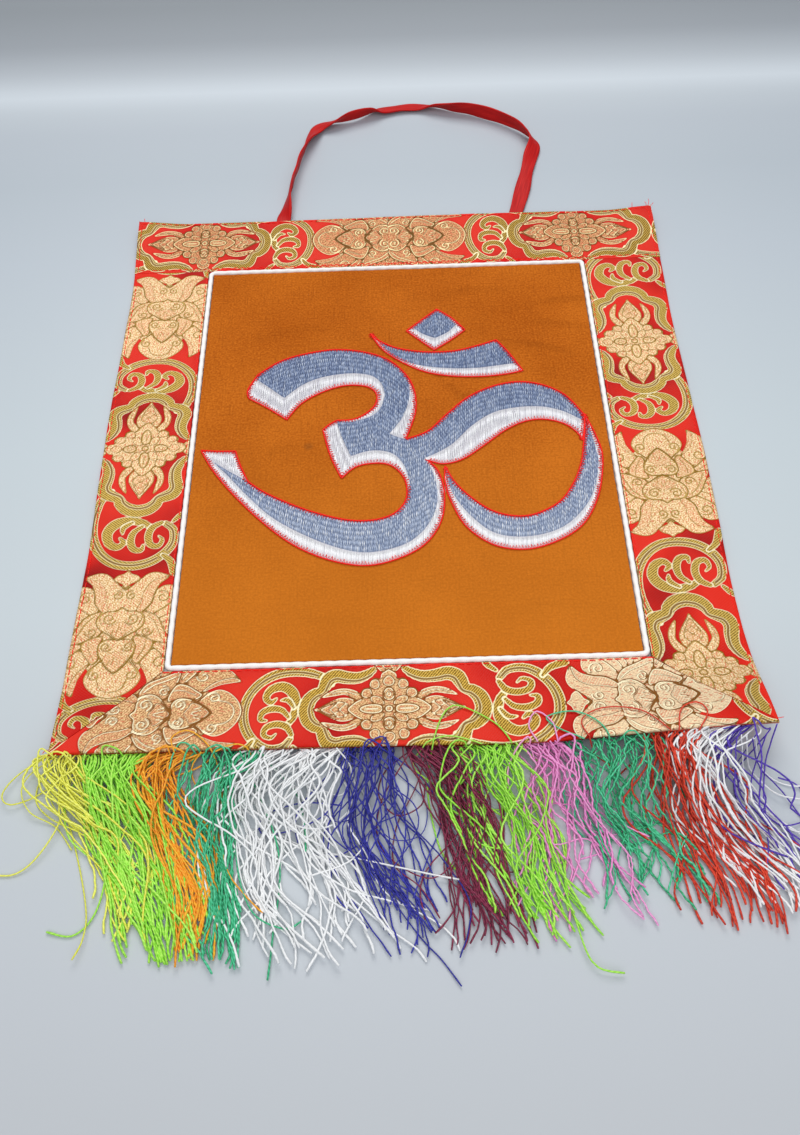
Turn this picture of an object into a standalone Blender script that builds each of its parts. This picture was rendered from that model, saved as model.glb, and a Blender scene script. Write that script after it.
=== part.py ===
"""Hanging banner: a plain panel framed by brocade strips, lying face up on a flat surface.

Metres, +Z up, +Y towards the head of the banner.  The origin is the centre of the panel's
underside, on the surface that the banner lies on.  Run with blender --background --python part.py
"""
import math

import bmesh
import bpy
from mathutils import Vector

MM = 0.001

# ---- driving dimensions ----------------------------------------------------------------------
INNER_W = 213.9 * MM        # across the outer edges of the piping
INNER_L = 262.5 * MM        # along them
SIDE_W = 43.0 * MM          # side strips
HEAD_W = 41.0 * MM          # head strip
FOOT_W = 41.5 * MM          # foot strip
HEAD_SEAM_X = -4.5 * MM     # where the two lengths of the head strip meet
SHEET_T = 2.0 * MM          # cloth with its turned edges
CORD_D = 2.6 * MM           # piping
CORD_CORNER_R = 2.2 * MM    # bend of the piping at a corner
GAP = 0.3 * MM              # clearance between pieces that touch
STRAP_W = 9.4 * MM
STRAP_T = 1.2 * MM
YARN_R = 1.0 * MM           # corner radius of a four-sided yarn
TAPE_D = 2.0 * MM           # depth of a bunch's root tape
LAYER_STEP = 1.8 * MM       # height from one layer of yarns to the next

HX, HY = INNER_W / 2, INNER_L / 2
X_OUT = HX + SIDE_W
Y_HEAD = HY + HEAD_W
Y_FOOT = -HY - FOOT_W

# Where the cloth stands off the surface, in mm: centre, reach along x and y, height.
SWELLS = (
    # x,    y,    reach_x, reach_y, height
    (156, -190, 120, 78, 11.5),      # foot corner, right
    (-156, -186, 60, 50, 1.2),       # foot corner, left
    (-154, 178, 34, 32, 2.6),        # head corner, left
    (154, 178, 36, 34, 2.8),         # head corner, right
    (-152, 84, 30, 34, 1.3),         # ripples of the side strips
    (-150, -34, 26, 40, 1.5),
    (152, 48, 30, 44, 1.4),
    (150, -62, 26, 34, 1.2),
    (62, 62, 40, 26, 0.7),           # puckers of the panel
    (-72, 28, 34, 30, 0.6),
    (-40, -74, 52, 22, 0.8),
    (66, -88, 44, 26, 0.9),
)

# The strap's middle line from its left end to its right end, in mm, and its roll in degrees:
# 0 lies flat, 90 stands on edge.
STRAP = (
    # x,     y,     z,    roll
    (-66.5, 159.0, 0.95, 0),
    (-66.4, 167.0, 1.00, 0),
    (-66.2, 174.5, 1.30, 4),
    (-65.0, 183.0, 3.20, 38),
    (-63.0, 199.0, 4.80, 72),
    (-60.0, 218.0, 5.10, 86),
    (-56.5, 236.0, 5.20, 84),
    (-51.5, 251.0, 5.20, 76),
    (-46.5, 261.0, 5.20, 66),
    (-36.0, 267.0, 5.30, 66),
    (-22.0, 272.5, 5.40, 76),
    (-8.0, 276.5, 5.60, 82),
    (6.0, 278.5, 6.20, 66),
    (22.5, 279.0, 7.20, 62),
    (38.0, 277.0, 8.00, 60),
    (52.0, 271.5, 8.60, 66),
    (63.0, 265.5, 8.60, 76),
    (73.0, 260.0, 7.60, 88),
    (82.0, 251.5, 6.20, 84),
    (88.0, 240.5, 4.20, 48),
    (84.2, 226.0, 2.40, 14),
    (79.0, 204.0, 1.60, 4),
    (74.0, 184.0, 1.30, 2),
    (71.2, 174.0, 1.10, 0),
    (69.8, 167.0, 1.00, 0),
    (68.2, 159.0, 0.95, 0),
)

# The yarn bunches from left to right, in mm: where each starts and ends along the hem, half-way
# down and at its tips; how many yarns lie side by side, in how many layers; how far they reach.
BUNCHES = (
    # name,           root_a, root_b, mid_a, mid_b, tip_a, tip_b, abreast, layers, short, long
    ("yellow",        -151.0, -136.3, -137.0, -119.5, -126.0, -108.5, 5, 2, 70, 88),
    ("lime",          -135.7, -117.3, -118.3, -103.2, -107.3, -93.2, 5, 3, 70, 88),
    ("orange",        -116.7, -90.3, -101.8, -87.4, -92.0, -82.0, 4, 3, 74, 90),
    ("green",         -89.7, -69.8, -86.2, -66.2, -80.8, -64.8, 5, 3, 72, 92),
    ("white",         -69.2, -28.3, -64.8, -25.2, -63.4, -16.2, 9, 2, 76, 90),
    ("navy",          -27.7, -5.3, -24.0, -4.2, -14.8, 12.2, 6, 3, 74, 90),
    ("maroon",        -4.7, 20.7, -2.6, 31.0, 13.6, 40.0, 7, 2, 72, 86),
    ("lime_right",    21.3, 43.7, 32.2, 49.0, 41.4, 53.4, 4, 3, 72, 86),
    ("pink",          44.3, 61.7, 50.4, 71.0, 54.8, 86.0, 6, 2, 64, 82),
    ("green_right",   62.3, 97.2, 72.2, 103.2, 87.4, 113.6, 8, 2, 60, 84),
    ("red",           97.8, 113.7, 104.6, 121.8, 115.0, 140.0, 5, 3, 68, 84),
    ("white_right",   114.3, 133.2, 123.2, 138.6, 141.4, 152.6, 4, 3, 64, 80),
    ("purple",        133.8, 149.8, 140.0, 154.0, 154.0, 168.0, 4, 2, 52, 72),
)

# Single yarns that leave their bunch: which bunch and layer, which end of the row, how far its
# middle and its tip stand off the row's own end, and its reach, in mm.
STRAYS = (
    # bunch,  layer, last, mid_off, tip_off, reach
    ("yellow", 0, False, -29.0, -44.0, 46),
    ("yellow", 1, False, -6.0, -9.0, 72),
    ("purple", 0, True, 14.0, 12.0, 60),
    ("purple", 1, True, 8.0, 9.0, 66),
)
MID_DEPTH, TIP_DEPTH = 45 * MM, 95 * MM     # depths below the hem of the mid and tip columns
YARN_DEPTHS = (6, 15, 28, 52)               # mm below the hem, between root and tip

COLOURS = {
    # name: (red, green, blue, roughness), linear
    "panel": (0.51, 0.155, 0.012, 0.75),
    "brocade": (0.60, 0.105, 0.03, 0.45),
    "piping": (0.86, 0.84, 0.78, 0.7),
    "strap": (0.54, 0.03, 0.025, 0.45),
    "yellow": (0.82, 0.73, 0.07, 0.6),
    "lime": (0.30, 0.72, 0.05, 0.6),
    "orange": (0.95, 0.30, 0.01, 0.6),
    "green": (0.01, 0.34, 0.14, 0.6),
    "white": (0.84, 0.85, 0.84, 0.6),
    "navy": (0.02, 0.02, 0.20, 0.6),
    "maroon": (0.16, 0.01, 0.05, 0.6),
    "pink": (0.74, 0.16, 0.50, 0.6),
    "red": (0.50, 0.03, 0.01, 0.6),
    "purple": (0.07, 0.03, 0.34, 0.6),
}


# ---- scene helpers ---------------------------------------------------------------------------
def clear_scene():
    for obj in list(bpy.data.objects):
        bpy.data.objects.remove(obj)


def new_collection(name, hidden=False):
    made = bpy.data.collections.new(name)
    bpy.context.scene.collection.children.link(made)
    made.hide_render = hidden
    return made


def material(name, colour):
    made = bpy.data.materials.new(name)
    made.use_nodes = True
    shader = made.node_tree.nodes["Principled BSDF"]
    shader.inputs["Base Color"].default_value = (*colour[:3], 1)
    shader.inputs["Roughness"].default_value = colour[3]
    shader.inputs["Metallic"].default_value = 0
    made.diffuse_color = (*colour[:3], 1)
    return made


def add_object(name, data, where, colour):
    obj = bpy.data.objects.new(name, data)
    where.objects.link(obj)
    data.materials.append(material(name, COLOURS[colour]))
    return obj


def solidify(obj, thickness, offset):
    made = obj.modifiers.new("thickness", "SOLIDIFY")
    made.thickness = thickness
    made.offset = offset
    made.use_even_offset = False


# ---- how the banner lies ---------------------------------------------------------------------
def smooth(t):
    t = min(1.0, max(0.0, t))
    return t * t * (3 - 2 * t)


def rise(x, y):
    """Height of the cloth's underside over the surface at a plan point."""
    height = 2.4 * MM * smooth((y - HY) / 0.028)
    height += 6.0 * MM * smooth((-0.128 - y) / 0.052) ** 1.2
    for sx, sy, reach_x, reach_y, lift in SWELLS:
        away = math.hypot((x / MM - sx) / reach_x, (y / MM - sy) / reach_y)
        if away < 1:
            height += lift * MM * math.cos(away * math.pi / 2) ** 2
    return height


def lay(x, y):
    """The point of the cloth's underside at a plan point; outer edges wander a little."""
    side = max(0.0, abs(x) - HX) / SIDE_W
    end = max(0.0, abs(y) - HY) / HEAD_W
    phase = 0.7 if x < 0 else 2.1
    x2 = x + math.copysign(side, x) * 0.7 * MM * math.sin(y / 0.024 + phase)
    y2 = y + math.copysign(end, y) * 0.5 * MM * math.sin(x / 0.037 + 0.6)
    return Vector((x2, y2, rise(x, y)))


def sheet(name, corners, across, along, where, colour):
    """A cloth sheet between four plan corners: head left, head right, foot right, foot left."""
    body = bmesh.new()
    bmesh.ops.create_grid(body, x_segments=across, y_segments=along, size=0.5)
    hl, hr, fr, fl = (Vector(c) for c in corners)
    for vert in body.verts:
        u, v = vert.co.x + 0.5, vert.co.y + 0.5
        flat = (fl * (1 - u) + fr * u) * (1 - v) + (hl * (1 - u) + hr * u) * v
        vert.co = lay(flat.x, flat.y)
    mesh = bpy.data.meshes.new(name)
    body.to_mesh(mesh)
    body.free()
    obj = add_object(name, mesh, where, colour)
    solidify(obj, SHEET_T, 1)
    return obj


def add_cloth(where):
    in_x, in_y = HX - CORD_D - GAP, HY - CORD_D - GAP
    sheet("panel", [(-in_x, in_y), (in_x, in_y), (in_x, -in_y), (-in_x, -in_y)],
          14, 17, where, "panel")
    low, seam = HY + GAP, GAP / 2
    sheet("header_left", [(-X_OUT, Y_HEAD), (HEAD_SEAM_X - seam, Y_HEAD),
                          (HEAD_SEAM_X - seam, low), (-X_OUT, low)], 10, 3, where, "brocade")
    sheet("header_right", [(HEAD_SEAM_X + seam, Y_HEAD), (X_OUT, Y_HEAD),
                           (X_OUT, low), (HEAD_SEAM_X + seam, low)], 10, 3, where, "brocade")
    mitre = 0.25 * MM
    sheet("border_left", [(-X_OUT, HY), (-HX - GAP, HY), (-HX - GAP, -HY),
                          (-X_OUT, Y_FOOT + mitre)], 3, 20, where, "brocade")
    sheet("border_right", [(HX + GAP, HY), (X_OUT, HY), (X_OUT, Y_FOOT + mitre),
                           (HX + GAP, -HY)], 3, 20, where, "brocade")
    sheet("border_bottom", [(-HX + mitre, -HY - GAP), (HX - mitre, -HY - GAP),
                            (X_OUT, Y_FOOT - mitre), (-X_OUT, Y_FOOT - mitre)],
          21, 3, where, "brocade")


# ---- piping and strap ------------------------------------------------------------------------
def poly_curve(name, paths, radius, resolution, closed=False, tilt=0.0):
    data = bpy.data.curves.new(name, "CURVE")
    data.dimensions = "3D"
    data.twist_mode = "Z_UP"
    data.bevel_depth = radius
    data.bevel_resolution = resolution
    data.use_fill_caps = not closed
    for path in paths:
        spline = data.splines.new("POLY")
        spline.points.add(len(path) - 1)
        for point, place in zip(spline.points, path):
            point.co = (*place, 1)
            point.tilt = tilt
        spline.use_cyclic_u = closed
    return data


def side_points(start, end, count):
    return [start + (end - start) * i / count for i in range(1, count)]


def add_piping(where):
    """One cord round the panel, bent at its four corners."""
    cx, cy = HX - CORD_D / 2, HY - CORD_D / 2
    corners = ((cx, cy, 0), (-cx, cy, 90), (-cx, -cy, 180), (cx, -cy, 270))
    bends = []
    for x, y, start in corners:
        middle = Vector((x - math.copysign(CORD_CORNER_R, x), y - math.copysign(CORD_CORNER_R, y)))
        turn = [math.radians(start + step * 30) for step in range(4)]
        bends.append([middle + CORD_CORNER_R * Vector((math.cos(a), math.sin(a))) for a in turn])
    plan = []
    for i, bend in enumerate(bends):
        after = bends[(i + 1) % 4]
        plan += bend + side_points(bend[-1], after[0], 12 if i % 2 == 0 else 14)
    path = [(p.x, p.y, rise(p.x, p.y) + CORD_D / 2 + GAP) for p in plan]
    data = poly_curve("piping", [path], CORD_D / 2, 1, closed=True)
    return add_object("piping", data, where, "piping")


def through(rows, t):
    """The point at t, 0 to len(rows) - 1, of the smooth curve through the rows (Catmull-Rom)."""
    i = min(int(t), len(rows) - 2)
    f = t - i
    a, b = rows[max(i - 1, 0)], rows[i]
    c, d = rows[i + 1], rows[min(i + 2, len(rows) - 1)]
    return [0.5 * (2 * q + (r - p) * f + (2 * p - 5 * q + 4 * r - s) * f * f
                   + (3 * q - p - 3 * r + s) * f ** 3) for p, q, r, s in zip(a, b, c, d)]


def add_strap(where):
    """A flat ribbon along the strap's middle line, rolled about it by the row's angle."""
    steps, across = 2 * (len(STRAP) - 1), 2
    line = [through(STRAP, i / 2) for i in range(steps + 1)]
    body = bmesh.new()
    bmesh.ops.create_grid(body, x_segments=across, y_segments=steps, size=0.5)
    for vert in body.verts:
        i = round((vert.co.y + 0.5) * steps)
        before, after = line[max(i - 1, 0)], line[min(i + 1, steps)]
        ahead = Vector(after[:3]) - Vector(before[:3])
        level = Vector((ahead.y, -ahead.x, 0)).normalized()
        roll = math.radians(line[i][3])
        side = level * math.cos(roll) + Vector((0, 0, 1)) * math.sin(roll)
        vert.co = Vector(line[i][:3]) * MM + side * (STRAP_W * vert.co.x)
    mesh = bpy.data.meshes.new("hanging_strap")
    body.to_mesh(mesh)
    body.free()
    obj = add_object("hanging_strap", mesh, where, "strap")
    solidify(obj, STRAP_T, 0)
    return obj


# ---- fringe ----------------------------------------------------------------------------------
def hash01(*keys):
    """A steady value between 0 and 1 from a few whole numbers."""
    total = sum(k * w for k, w in zip(keys, (12.9898, 78.233, 37.719)))
    return math.sin(total) * 43758.5453 % 1.0


def column(depth, root, mid, tip):
    """Plan x at a depth below the hem, bending through its root, mid and tip values."""
    if depth <= MID_DEPTH:
        t = max(0.0, depth / MID_DEPTH)
        slope = 0.35 * (tip - root) * t * (t - 1)
        return root + (mid - root) * t + slope
    t = (depth - MID_DEPTH) / (TIP_DEPTH - MID_DEPTH)
    return mid + (tip - mid) * t


def yarn(bunch, layer, i):
    """The middle line of one yarn, from inside its root tape to its tip."""
    number = [row[0] for row in BUNCHES].index(bunch[0])
    name, root_a, root_b, mid_a, mid_b, tip_a, tip_b, abreast, layers, short, long = bunch
    q = (i + 0.5) / abreast
    reach = (short + (long - short) * hash01(number, layer, i)) * MM
    root, mid, tip = (a + (b - a) * q for a, b in
                      ((root_a + 0.6, root_b - 0.6), (mid_a, mid_b), (tip_a, tip_b)))
    for stray_name, stray_layer, last, mid_off, tip_off, stray_reach in STRAYS:
        if (stray_name, stray_layer, (abreast - 1) * last) == (name, layer, i):
            mid, tip, reach = mid + mid_off, tip + tip_off, stray_reach * MM
    nudge = 0.25 * (hash01(i, layer, number) - 0.5)
    side = YARN_R / math.sqrt(2)
    hem = rise(root * MM, Y_FOOT)
    start_z = hem + side + 0.2 * MM + layer * LAYER_STEP
    rest_z = side + layer * LAYER_STEP
    land = (22 + 8 * layer) * MM + 1.3 * hem
    points = []
    for depth in (-TAPE_D / 2 / MM - 0.4,) + YARN_DEPTHS + (reach / MM,):
        d = depth * MM
        wave = 1.6 * max(0.0, d / TIP_DEPTH) * math.sin(d / 0.013 + root / 38)
        x = column(d, root, mid, tip) + wave + nudge
        t = min(1.0, max(0.0, d / land))
        z = rest_z + (start_z - rest_z) * (1 - smooth(t))
        z += (0.8 + 2.6 * layer) * MM * math.sin(math.pi * t)
        y = Y_FOOT - 0.25 * MM - (GAP + 0.2 * MM + max(d, 0.0) if d > 0 else TAPE_D * 0.6)
        points.append((x * MM, y, z))
    return points


def root_tape(name, bunch):
    """The narrow strip that a bunch's yarns leave from, along the hem and clear of it."""
    a, b, layers = bunch[1] * MM, bunch[2] * MM, bunch[8]
    height = (layers - 1) * LAYER_STEP + 2 * YARN_R
    body = bmesh.new()
    bmesh.ops.create_cube(body, size=1.0)
    for vert in body.verts:
        x = a + (b - a) * (vert.co.x + 0.5)
        foot = lay(x, Y_FOOT - 0.25 * MM)
        y = foot.y - GAP - TAPE_D * (0.5 - vert.co.y)
        vert.co = (x, y, foot.z + height * (vert.co.z + 0.5))
    mesh = bpy.data.meshes.new(name)
    body.to_mesh(mesh)
    body.free()
    return mesh


def add_fringe(where, tools):
    for bunch in BUNCHES:
        name, abreast, layers = bunch[0], bunch[7], bunch[8]
        paths = [yarn(bunch, k, i) for k in range(layers) for i in range(abreast)]
        data = poly_curve(name + "_yarns", paths, YARN_R, 0, tilt=math.pi / 4)
        curve = bpy.data.objects.new(name + "_curve", data)
        tools.objects.link(curve)
        bpy.context.view_layer.update()
        shaped = curve.evaluated_get(bpy.context.evaluated_depsgraph_get())
        mesh = bpy.data.meshes.new_from_object(shaped)
        bpy.data.objects.remove(curve)
        weld = bmesh.new()
        weld.from_mesh(mesh)
        bmesh.ops.remove_doubles(weld, verts=weld.verts, dist=0.00002)
        bmesh.ops.recalc_face_normals(weld, faces=weld.faces)
        weld.to_mesh(mesh)
        weld.free()
        yarns = bpy.data.objects.new(name + "_yarns", mesh)
        tools.objects.link(yarns)
        yarns.hide_render = True
        yarns.display_type = "WIRE"
        colour = name.replace("_right", "")
        obj = add_object("fringe_" + name, root_tape("fringe_" + name, bunch), where, colour)
        join = obj.modifiers.new("yarns", "BOOLEAN")
        join.operation = "UNION"
        join.solver = "EXACT"
        join.object = yarns


def build():
    clear_scene()
    where = new_collection("brocade_banner")
    tools = new_collection("cutters", hidden=True)
    add_cloth(where)
    add_piping(where)
    add_strap(where)
    add_fringe(where, tools)


build()
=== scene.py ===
# %% [markdown]
# # A brocade hanging banner
# A small devotional banner lies face up on a pale table.  A cotton panel carries an embroidered
# sign; strips of red brocade frame it, a white piping runs in the seam between them, a red
# strap hangs off the head and a many-coloured yarn fringe spreads from the foot.  Each cell
# below makes one piece or one finish, as surfaces worked out with numpy.

# %% Load the frame and keep its box
import math

import bpy
import numpy as np
from mathutils import Matrix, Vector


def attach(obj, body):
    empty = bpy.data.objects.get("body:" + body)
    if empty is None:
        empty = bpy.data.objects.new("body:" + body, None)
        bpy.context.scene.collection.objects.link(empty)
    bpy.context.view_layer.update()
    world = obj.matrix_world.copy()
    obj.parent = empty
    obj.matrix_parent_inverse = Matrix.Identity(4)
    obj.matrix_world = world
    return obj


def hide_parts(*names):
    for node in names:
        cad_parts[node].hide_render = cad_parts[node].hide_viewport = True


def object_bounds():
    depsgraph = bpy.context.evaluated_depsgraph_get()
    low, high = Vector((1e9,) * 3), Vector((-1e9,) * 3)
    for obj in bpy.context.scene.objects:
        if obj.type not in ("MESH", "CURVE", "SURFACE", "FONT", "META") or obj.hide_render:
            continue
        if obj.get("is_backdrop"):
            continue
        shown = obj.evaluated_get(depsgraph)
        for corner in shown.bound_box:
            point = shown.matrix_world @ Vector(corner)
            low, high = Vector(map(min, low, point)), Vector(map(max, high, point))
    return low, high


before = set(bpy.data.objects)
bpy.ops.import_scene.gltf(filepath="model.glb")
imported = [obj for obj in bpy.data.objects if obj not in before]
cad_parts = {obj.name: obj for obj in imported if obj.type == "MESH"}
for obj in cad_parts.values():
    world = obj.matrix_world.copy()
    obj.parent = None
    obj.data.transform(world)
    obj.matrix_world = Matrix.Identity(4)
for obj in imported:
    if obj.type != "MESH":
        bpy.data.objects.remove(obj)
cad_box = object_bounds()
MM = 0.001
rng = np.random.default_rng(11)
print("frame box, m:", [[round(v, 3) for v in corner] for corner in cad_box])

# %% [markdown]
# ## Helpers
# Colours are written as sRGB hex codes, as a dyer's card gives them, and turned to the linear
# values that a shader reads.  Each node helper adds one shader node, or a few that belong
# together, with its settings and links.  The mesh helpers turn arrays of points and faces into
# a mesh, a row of points into a smooth line, and lines into closed tubes, and read places off a
# line and numbers off a grid.

# %% Colour and node helpers
def srgb(code):
    """Hex code to linear RGBA: each channel c becomes ((c + 0.055) / 1.055) ** 2.4 above 0.04."""
    c = np.array([int(code[i:i + 2], 16) / 255 for i in (1, 3, 5)])
    linear = np.where(c <= 0.04045, c / 12.92, ((c + 0.055) / 1.055) ** 2.4)
    return (*linear.tolist(), 1.0)


def feed(tree, socket, value):
    """Gives an input its value, or links it where the value is another node's output."""
    if isinstance(value, bpy.types.NodeSocket):
        tree.links.new(value, socket)
    else:
        socket.default_value = value


def put(tree, kind, inputs=None, **settings):
    """Adds a node of that kind; inputs are values or sockets of other nodes."""
    node = tree.nodes.new(kind)
    for name, value in settings.items():
        setattr(node, name, value)
    for name, value in (inputs or {}).items():
        feed(tree, node.inputs[name], value)
    return node


def ramp(tree, factor, *stops):
    """A colour ramp on that factor; each stop is (position, hex code of its colour)."""
    node = put(tree, "ShaderNodeValToRGB", {"Fac": factor})
    elements = node.color_ramp.elements
    while len(elements) < len(stops):
        elements.new(0.5)
    for element, (position, code) in zip(elements, stops):
        element.position = position
        element.color = srgb(code)
    return node.outputs["Color"]


def arithmetic(tree, operation, a, b=0.0):
    """One sum, product or other operation on two numbers."""
    node = put(tree, "ShaderNodeMath", operation=operation)
    for socket, value in zip(node.inputs, (a, b)):
        feed(tree, socket, value)
    return node.outputs["Value"]


def mixed(tree, *parts):
    """The sum of (number, weight) pairs: a height or a tone made of several patterns."""
    weighted = [arithmetic(tree, "MULTIPLY", value, weight) for value, weight in parts]
    total = weighted[0]
    for value in weighted[1:]:
        total = arithmetic(tree, "ADD", total, value)
    return total


def blend(tree, factor, a, b):
    """Colour a where the factor is 0 and b where it is 1; a and b are sockets or hex codes."""
    node = put(tree, "ShaderNodeMix", data_type="RGBA")
    colours = (srgb(colour) if isinstance(colour, str) else colour for colour in (a, b))
    for socket, value in zip((node.inputs[0], node.inputs[6], node.inputs[7]), (factor, *colours)):
        feed(tree, socket, value)
    return node.outputs[2]


def step(tree, value, low, high, to_low=0.0, to_high=1.0):
    """A smooth step: to_low where the value is low, to_high where it is high."""
    return put(tree, "ShaderNodeMapRange", {"Value": value, "From Min": low, "From Max": high,
                                            "To Min": to_low, "To Max": to_high},
               interpolation_type="SMOOTHSTEP").outputs["Result"]


def number(tree, name):
    """A number that the mesh keeps at each of its points."""
    return put(tree, "ShaderNodeAttribute", attribute_name=name).outputs["Fac"]


def lie_of(tree):
    """The place on the piece's own pattern, in metres."""
    return put(tree, "ShaderNodeUVMap", uv_map="lie").outputs["UV"]


def placed(tree, axis):
    """Where a point is in the scene along that axis, in metres."""
    place = put(tree, "ShaderNodeTexCoord").outputs["Object"]
    return put(tree, "ShaderNodeSeparateXYZ", {"Vector": place}).outputs[axis]


def noise(tree, place, scale=1.0, detail=0.0):
    """Cloudy noise round a half, its patches about 1 / scale metres wide."""
    return put(tree, "ShaderNodeTexNoise",
               {"Vector": place, "Scale": scale, "Detail": detail}).outputs["Fac"]


def mapped(tree, place, **change):
    """A place moved, turned or stretched: Location, Rotation or Scale as (x, y, z)."""
    return put(tree, "ShaderNodeMapping", {"Vector": place, **change}).outputs["Vector"]


def ribs(tree, place, period, turn=0.0, distortion=0.0):
    """Fine parallel ribs, period in metres, on a pattern place turned by that angle."""
    wave = {"Vector": mapped(tree, place, Rotation=(0, 0, turn)), "Scale": math.pi / (10 * period),
            "Distortion": distortion, "Detail": 0.0}
    return put(tree, "ShaderNodeTexWave", wave).outputs["Fac"]


def roughen(tree, shader, height, distance, strength):
    """Bump of that height, its distance in mm."""
    bump = put(tree, "ShaderNodeBump",
               {"Height": height, "Distance": distance * MM, "Strength": strength})
    tree.links.new(bump.outputs["Normal"], shader.inputs["Normal"])


def finish_of(name, **sockets):
    """A new material; sockets are values on its Principled shader, by name with _ for space."""
    made = bpy.data.materials.new(name)
    made.use_nodes = True
    shader = made.node_tree.nodes["Principled BSDF"]
    for socket, value in sockets.items():
        shader.inputs[socket.replace("_", " ")].default_value = value
    return made, made.node_tree, shader


# %% Mesh helpers
def grid_faces(rows, cols, wrap=False):
    """Corner numbers of the quads of a rows x cols grid; wrap closes it along its columns."""
    i, j = np.meshgrid(np.arange(rows - 1), np.arange(cols if wrap else cols - 1), indexing="ij")
    k = (j + 1) % cols
    quads = np.stack([i * cols + j, i * cols + k, (i + 1) * cols + k, (i + 1) * cols + j], -1)
    return quads.reshape(-1, 4)


def make_mesh(name, points, face_sets, material, uv=None, values=None, smooth=True):
    """One object from points (n, 3) and arrays of faces, each (k, corners per face).

    uv is a place on the pattern for each point, and values are named numbers for each point.
    """
    mesh = bpy.data.meshes.new(name)
    loops = np.concatenate([f.ravel() for f in face_sets]).astype(np.int32)
    sizes = np.concatenate([np.full(len(f), f.shape[1]) for f in face_sets])
    mesh.vertices.add(len(points))
    mesh.vertices.foreach_set("co", np.asarray(points, np.float32).ravel())
    mesh.loops.add(len(loops))
    mesh.loops.foreach_set("vertex_index", loops)
    mesh.polygons.add(len(sizes))
    starts = np.concatenate([[0], np.cumsum(sizes)[:-1]])
    mesh.polygons.foreach_set("loop_start", starts.astype(np.int32))
    mesh.polygons.foreach_set("use_smooth", np.full(len(sizes), smooth))
    if uv is not None:
        layer = mesh.uv_layers.new(name="lie")
        layer.data.foreach_set("uv", np.asarray(uv, np.float32)[loops].ravel())
    for key, value in (values or {}).items():
        kept = mesh.attributes.new(key, "FLOAT", "POINT")
        kept.data.foreach_set("value", np.asarray(value, np.float32).ravel())
    mesh.update(calc_edges=True)
    mesh.validate()
    mesh.materials.append(material)
    obj = bpy.data.objects.new(name, mesh)
    bpy.context.scene.collection.objects.link(obj)
    return obj


def through(points, count):
    """Points (..., k, d) to count points on a smooth curve through them (Catmull-Rom)."""
    points = np.asarray(points, float)
    k = points.shape[-2]
    t = np.linspace(0, k - 1, count)
    i = np.minimum(t.astype(int), k - 2)
    f = (t - i)[:, None]
    a, b = points[..., np.maximum(i - 1, 0), :], points[..., i, :]
    c, d = points[..., i + 1, :], points[..., np.minimum(i + 2, k - 1), :]
    return 0.5 * (2 * b + (c - a) * f + (2 * a - 5 * b + 4 * c - d) * f ** 2
                  + (3 * b - a - 3 * c + d) * f ** 3)


def lengths_along(line):
    """How far along a line each of its points lies."""
    return np.r_[0, np.cumsum(np.linalg.norm(np.diff(line, axis=0), axis=1))]


def points_at(line, marks):
    """Points of a line at those lengths along it."""
    lengths = lengths_along(line)
    return np.stack([np.interp(marks, lengths, part) for part in line.T], 1)


def even(line, spacing):
    """Points about a spacing apart along a line."""
    whole = lengths_along(line)[-1]
    return points_at(line, np.linspace(0, whole, max(4, round(whole / spacing) + 1)))


def between(field, i, j):
    """A grid of numbers read at row i and column j, blended between the four cells around."""
    a, b = i.astype(int), j.astype(int)
    f, g = i - a, j - b
    return (field[a, b] * (1 - f) * (1 - g) + field[a + 1, b] * f * (1 - g)
            + field[a, b + 1] * (1 - f) * g + field[a + 1, b + 1] * f * g)


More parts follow.
